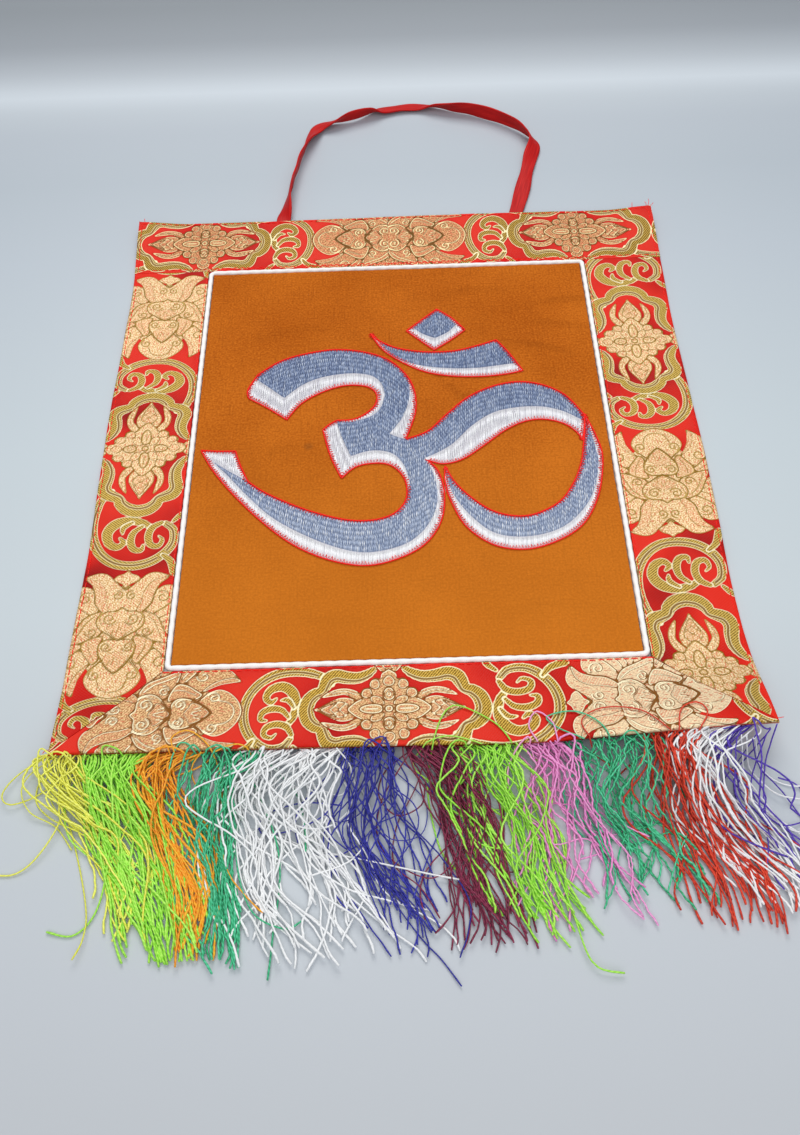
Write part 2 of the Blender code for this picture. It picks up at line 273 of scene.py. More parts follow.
def tubes(name, paths, radius, sides, material, squash=1.0, ends=0.35, shade=None):
    """Closed tubes along paths (n, m, 3): a ring of points round each path point.

    radius is a number or an array (n, m, 1) or (n, m, sides).  A ring's points stand at
    side * cos + up * sin, where side is level and square to the path.  Each end closes on one
    point a little further on.  uv: x is the turn round the tube, y the length along it in
    metres.  shade is one number a tube, kept on its points.
    """
    n, m, _ = paths.shape
    radius = np.broadcast_to(np.asarray(radius, float), (n, m, sides))
    along = np.gradient(paths, axis=1)
    along /= np.linalg.norm(along, axis=2, keepdims=True) + 1e-12
    side = np.cross(along, [0.0, 0.0, 1.0])
    side /= np.linalg.norm(side, axis=2, keepdims=True) + 1e-9
    up = np.cross(side, along)
    angle = np.linspace(0, 2 * np.pi, sides, endpoint=False)[:, None]
    ring = side[:, :, None] * np.cos(angle) + up[:, :, None] * np.sin(angle) * squash
    rings = paths[:, :, None] + ring * radius[..., None]
    poles = np.stack([paths[:, 0] - along[:, 0] * radius[:, 0, :1] * ends,
                      paths[:, -1] + along[:, -1] * radius[:, -1, :1] * ends], 1)
    points = np.concatenate([rings.reshape(n, m * sides, 3), poles], 1)
    j = np.arange(sides)
    fan0 = np.stack([np.full(sides, m * sides), (j + 1) % sides, j], 1)
    last = (m - 1) * sides
    fan1 = np.stack([np.full(sides, m * sides + 1), last + j, last + (j + 1) % sides], 1)
    shift = (np.arange(n) * (m * sides + 2))[:, None, None]
    quads = (grid_faces(m, sides, wrap=True)[None, :, ::-1] + shift).reshape(-1, 4)
    fans = (np.concatenate([fan0, fan1])[None, :, ::-1] + shift).reshape(-1, 3)
    steps = np.linalg.norm(np.diff(paths, axis=1), axis=2)
    length = np.concatenate([np.zeros((n, 1)), np.cumsum(steps, 1)], 1)
    turn = np.broadcast_to(np.abs(2 * j / sides - 1), (n, m, sides))
    uv = np.stack([turn, np.broadcast_to(length[:, :, None], (n, m, sides))], -1)
    pole_uv = np.stack([np.zeros((n, 2)), length[:, [0, -1]]], -1)
    uv = np.concatenate([uv.reshape(n, -1, 2), pole_uv], 1)
    values = None if shade is None else {"shade": np.repeat(shade, m * sides + 2)}
    return make_mesh(name, points.reshape(-1, 3), [quads, fans], material, uv.reshape(-1, 2), values)


# %% [markdown]
# ## Camera, light and table
# The banner is seen from the foot end, from about 43 cm up and looking down at 55 degrees, with
# a lens near 36 mm.  Soft light comes from a large panel beyond the head, with a wide fill from
# the front.  The table is a plain pale sheet with painted light: its colour steps lighter and
# darker from near to far, a painted fall-off of the light with a narrow painted band of reflected
# light just beyond the strap.

# %% Camera
def aim(eye, ahead, roll):
    """Rotation whose -Z looks along ahead; the level right-hand side turns by roll about it."""
    ahead = np.array(ahead) / np.linalg.norm(ahead)
    right = np.cross(ahead, [0, 0, 1])
    right /= np.linalg.norm(right)
    up = np.cross(right, ahead)
    turned = right * math.cos(roll) + up * math.sin(roll)
    lift = np.cross(turned, ahead)
    matrix = np.eye(4)
    matrix[:3] = np.stack([turned, lift, -ahead, np.array(eye)], 1)
    return Matrix(matrix.tolist())


camera_data = bpy.data.cameras.new("camera")
camera_data.lens = 36.13
camera_data.sensor_width = 36
camera_data.clip_start = 0.01
camera = bpy.data.objects.new("camera", camera_data)
bpy.context.scene.collection.objects.link(camera)
camera.matrix_world = aim((0.00271, -0.38435, 0.43464), (-0.00899, 0.57575, -0.81758),
                          math.radians(-2.475))
bpy.context.scene.camera = camera
print("camera at", [round(v, 3) for v in camera.location])

# %% Lights
def softbox(name, place, target, size, watts, colour):
    """A square area light at a place, turned to face its target."""
    data = bpy.data.lights.new(name, "AREA")
    data.size = size
    data.energy = watts
    data.color = srgb(colour)[:3]
    lamp = bpy.data.objects.new(name, data)
    bpy.context.scene.collection.objects.link(lamp)
    ahead = np.array(target, float) - np.array(place, float)
    lamp.matrix_world = aim(place, ahead, 0.0)


softbox("window_light", (-0.05, 0.95, 1.30), (0, 0, 0), 1.1, 15.5, "#FFFDFA")
softbox("front_fill", (0.10, -0.95, 1.25), (0, -0.05, 0), 1.6, 13.5, "#FBFCFF")
world = bpy.data.worlds.new("studio")
world.use_nodes = True
world.node_tree.nodes["Background"].inputs["Color"].default_value = srgb("#DDE3EA")
world.node_tree.nodes["Background"].inputs["Strength"].default_value = 0.42
bpy.context.scene.world = world
bpy.context.scene.view_settings.view_transform = "Standard"

# %% Table
card, tree, shader = finish_of("table_with_painted_light", Roughness=0.42, IOR=1.45)
# painted light on the table: the colour follows Y, a painted fall-off of light from near to far with a
# narrow painted band of reflected light at about Y = 0.31 m
share = put(tree, "ShaderNodeMapRange",
            {"Value": placed(tree, "Y"), "From Min": -0.5, "From Max": 1.5}).outputs["Result"]
tone = ramp(tree, share, (0.09, "#BDC1C5"), (0.12, "#C1C6CB"), (0.20, "#C6CFD3"),
            (0.25, "#C2CCD1"), (0.32, "#B8C1C9"), (0.36, "#B1BAC2"), (0.385, "#B3BBC3"),
            (0.397, "#BAC2C9"), (0.407, "#CAD2D9"), (0.42, "#AFB6BD"), (0.436, "#959BA2"),
            (0.46, "#898F95"))
tree.links.new(tone, shader.inputs["Base Color"])
TABLE_DROP = 0.0002                                # m below the banner's lowest points
table_points = np.array([[-3, -3, 0], [3, -3, 0], [3, 4, 0], [-3, 4, 0]], float)
table = make_mesh("table", table_points - [0, 0, TABLE_DROP], [np.array([[0, 1, 2, 3]])], card,
                  smooth=False)
table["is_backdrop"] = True

# %% [markdown]
# ## How the cloth lies
# The banner touches the table over most of its area.  The foot is held up by the knots of the
# fringe, its right corner most, the head rides on the strap's ends, and small swells run along
# the strips.  One height function carries every piece, so that seams stay together.

# %% The lie of the cloth
INNER_W, INNER_L = 213.9 * MM, 262.5 * MM      # outer edges of the piping
SIDE_W, HEAD_W, FOOT_W = 43.0 * MM, 41.0 * MM, 41.5 * MM
SHEET_T, CORD_D, GAP = 2.0 * MM, 2.6 * MM, 0.3 * MM
HX, HY = INNER_W / 2, INNER_L / 2
X_OUT, Y_HEAD, Y_FOOT = HX + SIDE_W, HY + HEAD_W, -HY - FOOT_W
SEAM_X = -4.5 * MM
HEAD_LIFT, HEAD_RAMP = 2.4 * MM, 0.028             # the head rides on the strap's ends
FOOT_LIFT, FOOT_FROM, FOOT_RAMP = 6.0 * MM, -0.128, 0.052    # the foot rides on the knots
EDGE_ROLL = 0.9 * MM                               # radius of a turned edge
NO_WEAVE = -3.0                                    # mm: far outside any figure
SWELLS = (
    # x,    y,    reach_x, reach_y, height, in mm
    (156, -190, 120, 78, 11.5),
    (-156, -186, 60, 50, 1.2),
    (-154, 178, 34, 32, 2.6),
    (154, 178, 36, 34, 2.8),
    (-152, 84, 30, 34, 1.3),
    (-150, -34, 26, 40, 1.5),
    (152, 48, 30, 44, 1.4),
    (150, -62, 26, 34, 1.2),
    (62, 62, 40, 26, 0.7),
    (-72, 28, 34, 30, 0.6),
    (-40, -74, 52, 22, 0.8),
    (66, -88, 44, 26, 0.9),
)


def smooth(t):
    """3 t^2 - 2 t^3, held at 0 and 1 outside."""
    t = np.clip(t, 0, 1)
    return t * t * (3 - 2 * t)


def rise(x, y):
    """Height of the cloth's underside: two ramps at head and foot, and a cos^2 bump per swell."""
    height = HEAD_LIFT * smooth((y - HY) / HEAD_RAMP)
    height = height + FOOT_LIFT * smooth((FOOT_FROM - y) / FOOT_RAMP) ** 1.2
    for sx, sy, reach_x, reach_y, lift in SWELLS:
        away = np.hypot((x / MM - sx) / reach_x, (y / MM - sy) / reach_y)
        height = height + lift * MM * np.cos(np.minimum(away, 1) * np.pi / 2) ** 2
    return height


def lay(x, y, up=0.0):
    """Points of the cloth at plan (x, y), up above its underside; outer edges wander a little."""
    side = np.maximum(0, np.abs(x) - HX) / SIDE_W
    end = np.maximum(0, np.abs(y) - HY) / HEAD_W
    phase = np.where(x < 0, 0.7, 2.1)
    x2 = x + np.sign(x) * side * 0.7 * MM * np.sin(y / 0.024 + phase)
    y2 = y + np.sign(y) * end * 0.5 * MM * np.sin(x / 0.037 + 0.6)
    return np.stack(np.broadcast_arrays(x2, y2, rise(x, y) + up), -1)


def dress(piece, *nodes, slot):
    """The piece rides on the one body and stands for those solids; slot is not used."""
    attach(piece, "root")
    if nodes:
        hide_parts(*nodes)
    print(piece.name, len(piece.data.polygons), "faces")
    return piece


def shell(name, x, y, up, edges, material, bottom_step, values, uv=None):
    """A closed cloth: a fine face, plain underside and walls.

    x, y, up are (rows, cols) arrays of the face; edges is each point's distance to the nearest
    turned edge, where the face rolls down as a quarter round.
    """
    rows, cols = x.shape
    inset = np.clip(EDGE_ROLL - edges, 0, EDGE_ROLL)
    drop = EDGE_ROLL - np.sqrt(np.maximum(EDGE_ROLL ** 2 - inset ** 2, 0))
    face = lay(x, y, SHEET_T + up - drop).reshape(-1, 3)
    keep = np.unique(np.r_[np.arange(0, cols, bottom_step), cols - 1])
    under = lay(x[:, keep], y[:, keep]).reshape(-1, 3)
    base = rows * cols
    k = len(keep)
    top = grid_faces(rows, cols)
    low = grid_faces(rows, k)[:, ::-1] + base
    r = np.arange(rows - 1)
    left = np.stack([r * cols, (r + 1) * cols, base + (r + 1) * k, base + r * k], 1)
    right = np.stack([(r + 1) * cols + cols - 1, r * cols + cols - 1,
                      base + r * k + k - 1, base + (r + 1) * k + k - 1], 1)
    first = np.r_[np.arange(cols)[::-1], base + np.arange(k)][None]
    last = np.r_[(rows - 1) * cols + np.arange(cols),
                 base + (rows - 1) * k + np.arange(k)[::-1]][None]
    points = np.concatenate([face, under])
    if uv is None:
        uv = points[:, :2]
    else:
        uv = np.concatenate([uv.reshape(base, 2), uv[:, keep].reshape(-1, 2)])
    plain = np.full(rows * k, NO_WEAVE)
    values = {key: np.concatenate([value.ravel(), plain]) for key, value in values.items()}
    return make_mesh(name, points, [top, low, left, right, first, last], material, uv, values)


# %% [markdown]
# ## The brocade's pattern
# Red satin with woven gold ornament, all of it traditional: a lotus, a leafy scroll, a cloud
# band and a cross-shaped flower inside the band.  One repeat is 206 mm long.  Each leaf is a
# smooth closed outline through a few points, given for one half and mirrored, because the
# loom mirrors it too.  For every leaf the signed distance to its outline is worked out on a
# fine grid, leaf over leaf as a painter works, and the strips read the result as numbers on
# their points, distances in mm: fill is how far inside the gold a point lies, line how far
# inside a contour, cord how far from a couched cord, and one more number tells a contour's two
# sides apart, so that one side gets painted shade and the other a painted highlight, as a raised
# thread would in light.  tone is 0 on a pale figure and 1 on an olive band, and hatch is its
# share of lattice.

# %% Outlines and distances
REPEAT, HALF_TILE, PITCH = 206.4, 27.0, 0.25       # mm
CONTOUR = 0.86                                     # mm, width of a woven contour


def closed_line(points):
    """A closed smooth line through the points."""
    steps = 8
    ring = np.array(points, float)
    ring = np.concatenate([ring[-1:], ring, ring[:2]])
    curve = through(ring, (len(ring) - 1) * steps + 1)
    return curve[steps:-steps]


def to_segments(px, py, line):
    """Distance from each point to a line of short segments."""
    best = np.full(px.shape, 1e9)
    for start in range(0, len(line) - 1, 24):
        a, b = line[start:start + 25][:-1], line[start:start + 25][1:]
        ab = b - a
        t = (px[:, None] - a[:, 0]) * ab[:, 0] + (py[:, None] - a[:, 1]) * ab[:, 1]
        t = np.clip(t / ((ab ** 2).sum(1) + 1e-12), 0, 1)
        dx = px[:, None] - a[:, 0] - t * ab[:, 0]
        dy = py[:, None] - a[:, 1] - t * ab[:, 1]
        best = np.minimum(best, np.sqrt((dx * dx + dy * dy).min(1)))
    return best


def depth_in(px, py, line):
    """Distance to a closed line, below zero outside it: a ray to +x crosses it an even number
    of times there."""
    odd = np.zeros(px.shape, bool)
    for (ax, ay), (bx, by) in zip(line[:-1], line[1:]):
        if ay != by:
            odd ^= ((ay > py) != (by > py)) & (px < (bx - ax) * (py - ay) / (by - ay) + ax)
    away = to_segments(px, py, line)
    return np.where(odd, away, -away)


def spiral(p, q, radius, start, turns, flip):
    """An arc about (p, q) that winds in from its radius to a fifth of it, left where flip is 1."""
    t = np.linspace(0, 1, 34)
    angle = math.radians(start) + flip * t * turns * 2 * np.pi
    size = radius * (1 - 0.8 * t)
    return np.stack([p + size * np.cos(angle), q + size * np.sin(angle)], 1)


# %% The woven repeat
MARGIN = 4.0                                       # mm that the grid goes on past the repeat
grid_p, grid_q = np.meshgrid(np.arange(-MARGIN, REPEAT + MARGIN, PITCH),
                             np.arange(-HALF_TILE, HALF_TILE, PITCH), indexing="ij")
NO_CORD = 3.0                                      # mm: far from any couched cord
START = {"fill": NO_WEAVE, "line": NO_WEAVE, "tone": 0.0, "hatch": 0.0, "cord": NO_CORD,
         "flank": 0.0}
woven = {key: np.full(grid_p.shape, value) for key, value in START.items()}


def frame_of(origin, stretch_up=1.0, fold_p=False, fold_q=True):
    """Local coordinates of a figure: p from its origin, folded where it mirrors itself."""
    p = grid_p - origin
    if fold_p:
        p = np.where(p < 0, -p / stretch_up, p)
    return p, np.abs(grid_q) if fold_q else grid_q


def near(p, q, line, margin=3.0):
    """True for the points within a margin of the line's own box."""
    low, high = line.min(0) - margin, line.max(0) + margin
    return (p > low[0]) & (p < high[0]) & (q > low[1]) & (q < high[1])


def weave(part, **changes):
    """Over that part of the grid, sets each named number to a value where its mask is true."""
    for key, (mask, value) in changes.items():
        woven[key][part] = np.where(mask, value, woven[key][part])


def edged(part, signed, contour):
    """Weaves a figure's gold, and its contour over whatever contours lie under the figure."""
    edge = contour / 2 - np.abs(signed)
    covered = np.where(signed > -contour / 2, edge, np.maximum(woven["line"][part], edge))
    weave(part, line=(True, covered), fill=(signed > woven["fill"][part], signed))


def leaf(where, points, hatch=0.0, contour=CONTOUR):
    """Weaves one pale leaf over what is there: its gold, and the contour round it."""
    p, q = where
    line = closed_line(points)
    part = near(p, q, line)
    signed = depth_in(p[part], q[part], line)
    edged(part, signed, contour)
    weave(part, tone=(signed > -1.0, 0.0), hatch=(signed > 0, hatch),
          cord=(signed > -0.3, NO_CORD), flank=(np.abs(signed) < 1.3, signed))


def vein(where, line, width=0.8):
    """Weaves a contour line; a line beside it picks its side of painted shade and of painted highlight."""
    p, q = where
    line = np.asarray(line, float)
    part = near(p, q, line)
    px, py = p[part], q[part]
    # the line 0.45 mm beside it decides which side gets painted shade and which a painted highlight
    away, beside = to_segments(px, py, line), to_segments(px - 0.45, py + 0.2, line)
    drawn = width / 2 - away
    weave(part, flank=(np.minimum(away, beside) < 0.9, beside - away),
          line=(drawn > woven["line"][part], drawn))


def band(where, points, half, cord=None):
    """Weaves an olive band along a line; half is its half width, or one value for each point.

    cord is how far to the left of the line a dark couched cord runs along the band.
    """
    p, q = where
    points = np.array(points, float)
    half = np.broadcast_to(np.asarray(half, float), len(points))
    curve = through(np.c_[points, half], len(points) * 8)
    line, widths = curve[:, :2], curve[:, 2]
    part = near(p, q, line, widths.max() + 3)
    px, py = p[part], q[part]
    signed = np.full(px.shape, -1e9)
    away = np.full(px.shape, 1e9)
    left = np.ones(px.shape)
    for start in range(0, len(line) - 1, 4):
        piece = line[start:start + 5]
        here = to_segments(px, py, piece)
        (ax, ay), (bx, by) = piece[0], piece[-1]
        side = np.sign((bx - ax) * (py - ay) - (by - ay) * (px - ax))
        left = np.where(here < away, side, left)
        signed = np.maximum(signed, widths[start:start + 5].mean() - here)
        away = np.minimum(away, here)
    edged(part, signed, CONTOUR)
    beside = NO_CORD if cord is None else left * away - cord
    weave(part, tone=(signed > -1.0, 1.0), hatch=(signed > 0, 0.0), cord=(signed > -1.2, beside))


# %% Scroll
def weave_scroll(where):
    """A long C band with three leafy curls inside it; the loom weaves it again in mirror."""
    band(where, [(28, -13.5), (34, -18), (45, -20.6), (56, -19.8), (65, -15.2), (70.8, -8), (72.6, 0.6),
                 (70.8, 9), (66, 15.6), (59.4, 19.4), (52, 18.8), (48, 14.6)],
         [1.4, 2.1, 2.5, 2.6, 2.6, 2.6, 2.6, 2.6, 2.5, 2.3, 2.1, 1.7], cord=0.3)
    band(where, [(46.6, 18.6), (43, 22), (42, 27)], [1.1, 1.7, 1.9])
    band(where, [(66.8, 15.2), (70.4, 19.2), (77, 21.6)], [1, 1.8, 2.1])
    band(where, [(51, 8.6), (47.4, 3.6), (46.2, -3.4), (48.4, -9.8), (53.6, -13), (59.4, -11.4),
                 (61.6, -7.2), (59, -4.6), (56.4, -6.6)], [1.5, 2, 2.5, 2.9, 2.7, 2.3, 1.9, 1.5, 0.8])
    band(where, [(49.6, 3.4), (53.2, -0.4), (58.6, -1.2), (63, 0.8), (63.6, 4.4), (60.6, 5)],
         [1.1, 1.7, 2, 1.8, 1.4, 0.7])
    band(where, [(47.6, 12.6), (50.4, 8.4), (55.4, 7), (60.4, 8.6), (61.4, 12.4), (57.8, 14),
                 (55.4, 12)], [1.3, 1.9, 2, 1.8, 1.5, 1.1, 0.6])
    band(where, [(47.2, -1.6), (50.4, -5.6), (54, -5.6)], [0.9, 1.5, 0.5])


CROSS_P = 130.6                                    # mm along the repeat to the flower's middle
SHORTER = 0.84                                     # of the scroll that is woven in mirror
down_p, down_q = frame_of(CROSS_P, fold_q=False)
weave_scroll((down_p, down_q))
weave_scroll((down_p + REPEAT, down_q))
weave_scroll(((CROSS_P - grid_p - 1.0) / SHORTER, -down_q))
weave_scroll((down_p - REPEAT, down_q))

# %% Cloud band round the flower
cloud = frame_of(CROSS_P, stretch_up=0.88, fold_p=True)
band(cloud, [(6.5, 21.4), (10, 18.6), (15, 16.6), (20.5, 16.8), (25.6, 17.8), (29.6, 16.2),
             (31.6, 12.4), (32.8, 9.8), (36, 8.4), (38.8, 5.4), (40, 1.8), (40.2, 0), (40, -1.8)],
     [1.2, 2.3, 3, 3.3, 3.6, 3.7, 3.1, 2.6, 3.2, 3.7, 3.8, 3.8, 3.8], cord=-1.5)

# %% Cross-shaped flower
cross = frame_of(CROSS_P, stretch_up=0.97, fold_p=True)
leaf(cross, [(-3, 17), (2, 18.4), (5.6, 22.4), (7.6, 27.4), (-3, 28)])
vein(cross, through([(1.2, 20.6), (3, 23.4), (3.8, 27)], 10), 0.5)
leaf(cross, [(11, 6.2), (14.4, 9.6), (19.6, 11.2), (25, 10.2), (29.6, 6.6), (24.4, 7.2), (19.6, 7.8),
             (16, 5.6), (13, 4.2)])
vein(cross, through([(14.4, 7.6), (19.6, 9.6), (25.4, 8.6)], 14), 0.5)
leaf(cross, [(13, -4), (13.8, 3), (17.2, 5.8), (21.6, 6.2), (26, 4.2), (30.4, 1.4), (33, -0.2),
             (33, -4)])
leaf(cross, [(17.6, -3), (17.8, 1.6), (20, 3.8), (23, 3.8), (26.4, 2.2), (30, 0), (30, -3)], hatch=1,
     contour=0.6)
for rib in ([(18.4, -3.4), (21.4, 0), (24.4, 2.8)], [(19, 3.2), (22, 0), (25.4, -3)],
            [(22.4, 3.6), (25.6, 0.4), (28.6, -2)]):
    vein(cross, rib, 0.5)
leaf(cross, [(-4, 19.8), (2.6, 18.8), (3.8, 16), (6.4, 16.2), (8.6, 14), (8.6, 11.4), (11.2, 10.8),
             (12.6, 8.4), (11.8, 5.8), (14.6, 3.8), (17, 1.6), (18, 0), (18, -4), (-4, -4)])
for bud in ([(4.2, 13), (5.2, 15.2), (7.6, 14.8), (8.4, 12.2), (6.8, 10.6), (4.8, 11)],
            [(7.6, 8), (8.6, 10.4), (11.2, 10), (12, 7.4), (10.2, 5.8), (8, 6.2)]):
    leaf(cross, bud, hatch=0.5, contour=0.6)
leaf(cross, [(2.2, 2.2), (3, 5.2), (5.8, 6.6), (8, 6), (7.2, 3.4), (5, 2)], contour=0.6)
leaf(cross, [(2.8, 0), (4.2, 1.9), (8, 2.3), (11.4, 1.5), (12.8, 0), (11.4, -1.5), (8, -2.3),
             (4.2, -1.9)])
vein(cross, [(5, 0), (10.4, 0)], 0.6)
leaf(cross, closed_line([(0, 4.6), (1.8, 5.4), (2.4, 7.6), (1.6, 10), (0, 11.2), (-1.6, 10),
                         (-2.4, 7.6), (-1.8, 5.4)]))
vein(cross, closed_line([(0, 6.4), (0.9, 7.8), (0, 9.2), (-0.9, 7.8)]), 0.5)
leaf(cross, [(-1.4, 12.4), (1.4, 12.4), (2.4, 14.8), (0, 17.4), (-2.4, 14.8)], hatch=0.5, contour=0.6)
leaf(cross, closed_line([(1.5, 0), (1.1, 1.1), (0, 1.5), (-1.1, 1.1), (-1.5, 0), (-1.1, -1.1),
                         (0, -1.5), (1.1, -1.1)]))

# %% Lotus
def weave_lotus(where):
    """One half of the lotus: leaf over leaf, from the ground to the buds in the middle."""
    # the body that the petals lie on
    leaf(where, [(12, -4), (12, 10), (22, 15), (34, 19), (44, 20), (50, 13.4), (56, 9), (60, 4),
                 (60, -4)], contour=0.3)
    # shells at the strip's edges, with their ribs
    leaf(where, [(9.6, 15.4), (8, 19), (8.8, 23.6), (12, 29), (34, 29), (36, 23.6), (31.8, 18.4),
                 (26, 15.2), (22.8, 11.2), (18, 11), (12.6, 12.6)])
    vein(where, spiral(14.6, 17.8, 3.5, 215, 1.3, -1))
    vein(where, through([(15.6, 23.6), (20, 19.6), (23.6, 14.6)], 14))
    for rib in ([(21, 25), (24.4, 20.6), (26.4, 16.4)], [(25, 25.4), (27.4, 21.6), (28.4, 18)],
                [(29.4, 25.4), (30.6, 22.4), (30.8, 19.6)]):
        vein(where, through(rib, 12), 0.6)
    # lowest outer petal with its folded margin
    leaf(where, [(43, 15), (42.4, 20), (44.4, 25), (48, 28), (54.4, 26.4), (60.8, 23), (66.4, 16.4),
                 (62.6, 15.8), (58.2, 15), (52.6, 12.6), (48.4, 10.2), (45.2, 12.2)])
    leaf(where, [(49.6, 11.2), (53.6, 15.2), (58, 17.4), (63, 18.2), (66.2, 16.6), (62, 15.6),
                 (57.4, 14.8), (52.8, 12.6)], hatch=1, contour=0.5)
    vein(where, spiral(49.8, 19.6, 3.9, 60, 1.15, 1))
    # striped leaf at the edge
    leaf(where, [(38.8, 18.6), (40.4, 23.6), (43.6, 28), (50, 28.6), (46.6, 22), (43.2, 18),
                 (40.6, 15.4)], hatch=0.6)
    vein(where, through([(40.4, 18.4), (43.4, 22.4), (47.4, 26.6)], 12), 0.6)
    # round petal at the foot
    leaf(where, [(48, -4), (48, 5), (50.6, 8.2), (53.4, 11), (57, 12.4), (60.6, 11.4), (63.6, 9),
                 (66, 5.8), (67.4, 2), (67.6, 0), (67.6, -4)])
    vein(where, spiral(55.4, 8, 2.9, 150, 1.3, -1))
    vein(where, through([(57.8, 6.4), (61.8, 5.2), (64, 2.6), (64.8, -1.6)], 16), 0.7)
    # side petal with margin and curl
    leaf(where, [(22.4, 8), (22.9, 12.2), (25.8, 16.6), (31.4, 19.4), (39, 22.4), (38.6, 17),
                 (36.8, 11.6), (33.2, 7.6), (27.8, 7.6)], hatch=0.35)
    vein(where, through([(24.6, 12), (28.4, 15.6), (33, 17.6), (37.6, 19.8)], 16), 0.7)
    vein(where, spiral(33, 12.4, 2.8, 100, 1.3, -1))
    # striped leaf beside the lower bud
    leaf(where, [(35.6, 7), (36.2, 11.4), (38.8, 15.6), (43, 15), (46.8, 12.4), (49.8, 9.8),
                 (47.2, 7.4), (43, 8.2), (39.4, 7.4)], hatch=1)
    vein(where, through([(38, 12.6), (42, 12.2), (47.4, 9.6)], 12), 0.6)
    # horn petals that join in the middle, with a folded margin
    leaf(where, [(3.4, 19.8), (1.4, 16.4), (0.6, 12.8), (1.6, 9.2), (4.6, 6), (8.2, 2.6), (10.4, 0),
                 (10.4, -4), (21.4, -4), (21.2, 1), (22.6, 5.6), (22.6, 9), (18, 12.8), (12.4, 14),
                 (7.4, 16)])
    leaf(where, [(3.8, 19.2), (4.2, 15.6), (6, 12), (10.6, 9), (17, 8), (22.2, 6.4), (22.4, 8.8),
                 (18, 12.5), (12.4, 13.7), (7.4, 15.7)], hatch=1, contour=0.5)
    vein(where, spiral(13.4, 3.2, 2.7, 170, 1.3, 1))
    # palmette on top
    leaf(where, [(-0.4, -3), (-0.4, 0), (1.2, 2), (2.2, 4.6), (4.2, 6.2), (5.8, 4.6), (7.2, 2),
                 (9.2, 0), (9.2, -3)])
    # lower bud, then the upper one over it
    leaf(where, [(37.4, -4), (37.2, 1.6), (37.4, 5.4), (39.8, 8), (43.8, 7.8), (47, 6.4), (50.8, 4.2),
                 (54.8, 0), (54.8, -4)])
    leaf(where, [(44.4, -4), (43.2, 0), (44.8, 3), (46.2, 5.4), (50.2, 3.8), (53.8, 0), (53.8, -4)],
         hatch=1, contour=0.45)
    vein(where, spiral(40.8, 4.8, 2.7, -70, 1.35, 1))
    vein(where, [(46.4, 0.4), (50.4, 1.4)], 0.55)
    vein(where, [(47.6, 2.2), (50, 2.8)], 0.55)
    leaf(where, [(20, -4), (20, 0), (22, 2.4), (22.2, 6.2), (24, 9.8), (27.8, 10.8), (31.2, 9.2),
                 (34, 5.6), (37.6, 0), (37.6, -4)])
    leaf(where, [(29.2, -4), (27.8, 0), (29.6, 3.2), (31, 6), (34, 3.6), (36.8, 0), (36.8, -4)],
         hatch=1, contour=0.45)
    vein(where, spiral(26, 5.2, 3.2, -70, 1.35, 1))
    vein(where, through([(22.8, 8.4), (25.6, 9.6), (29.4, 8.2)], 10), 0.6)
    vein(where, [(30.2, 0.4), (34.4, 1.4)], 0.55)
    vein(where, [(31.6, 2.6), (34.2, 3)], 0.55)


lotus_p, lotus_q = frame_of(0.0)
for begin in (0.0, REPEAT):
    weave_lotus((lotus_p - begin, lotus_q))
print("woven repeat", grid_p.shape, "gold share", round(float((woven["fill"] > 0).mean()), 3))


def read_weave(s, t):
    """The woven numbers at s along the cloth and t across it, in mm, blended between the cells."""
    i = (np.mod(s, REPEAT) + MARGIN) / PITCH
    j = np.clip((t + HALF_TILE) / PITCH, 0, grid_p.shape[1] - 2)
    return {key: between(field, i, j) for key, field in woven.items()}
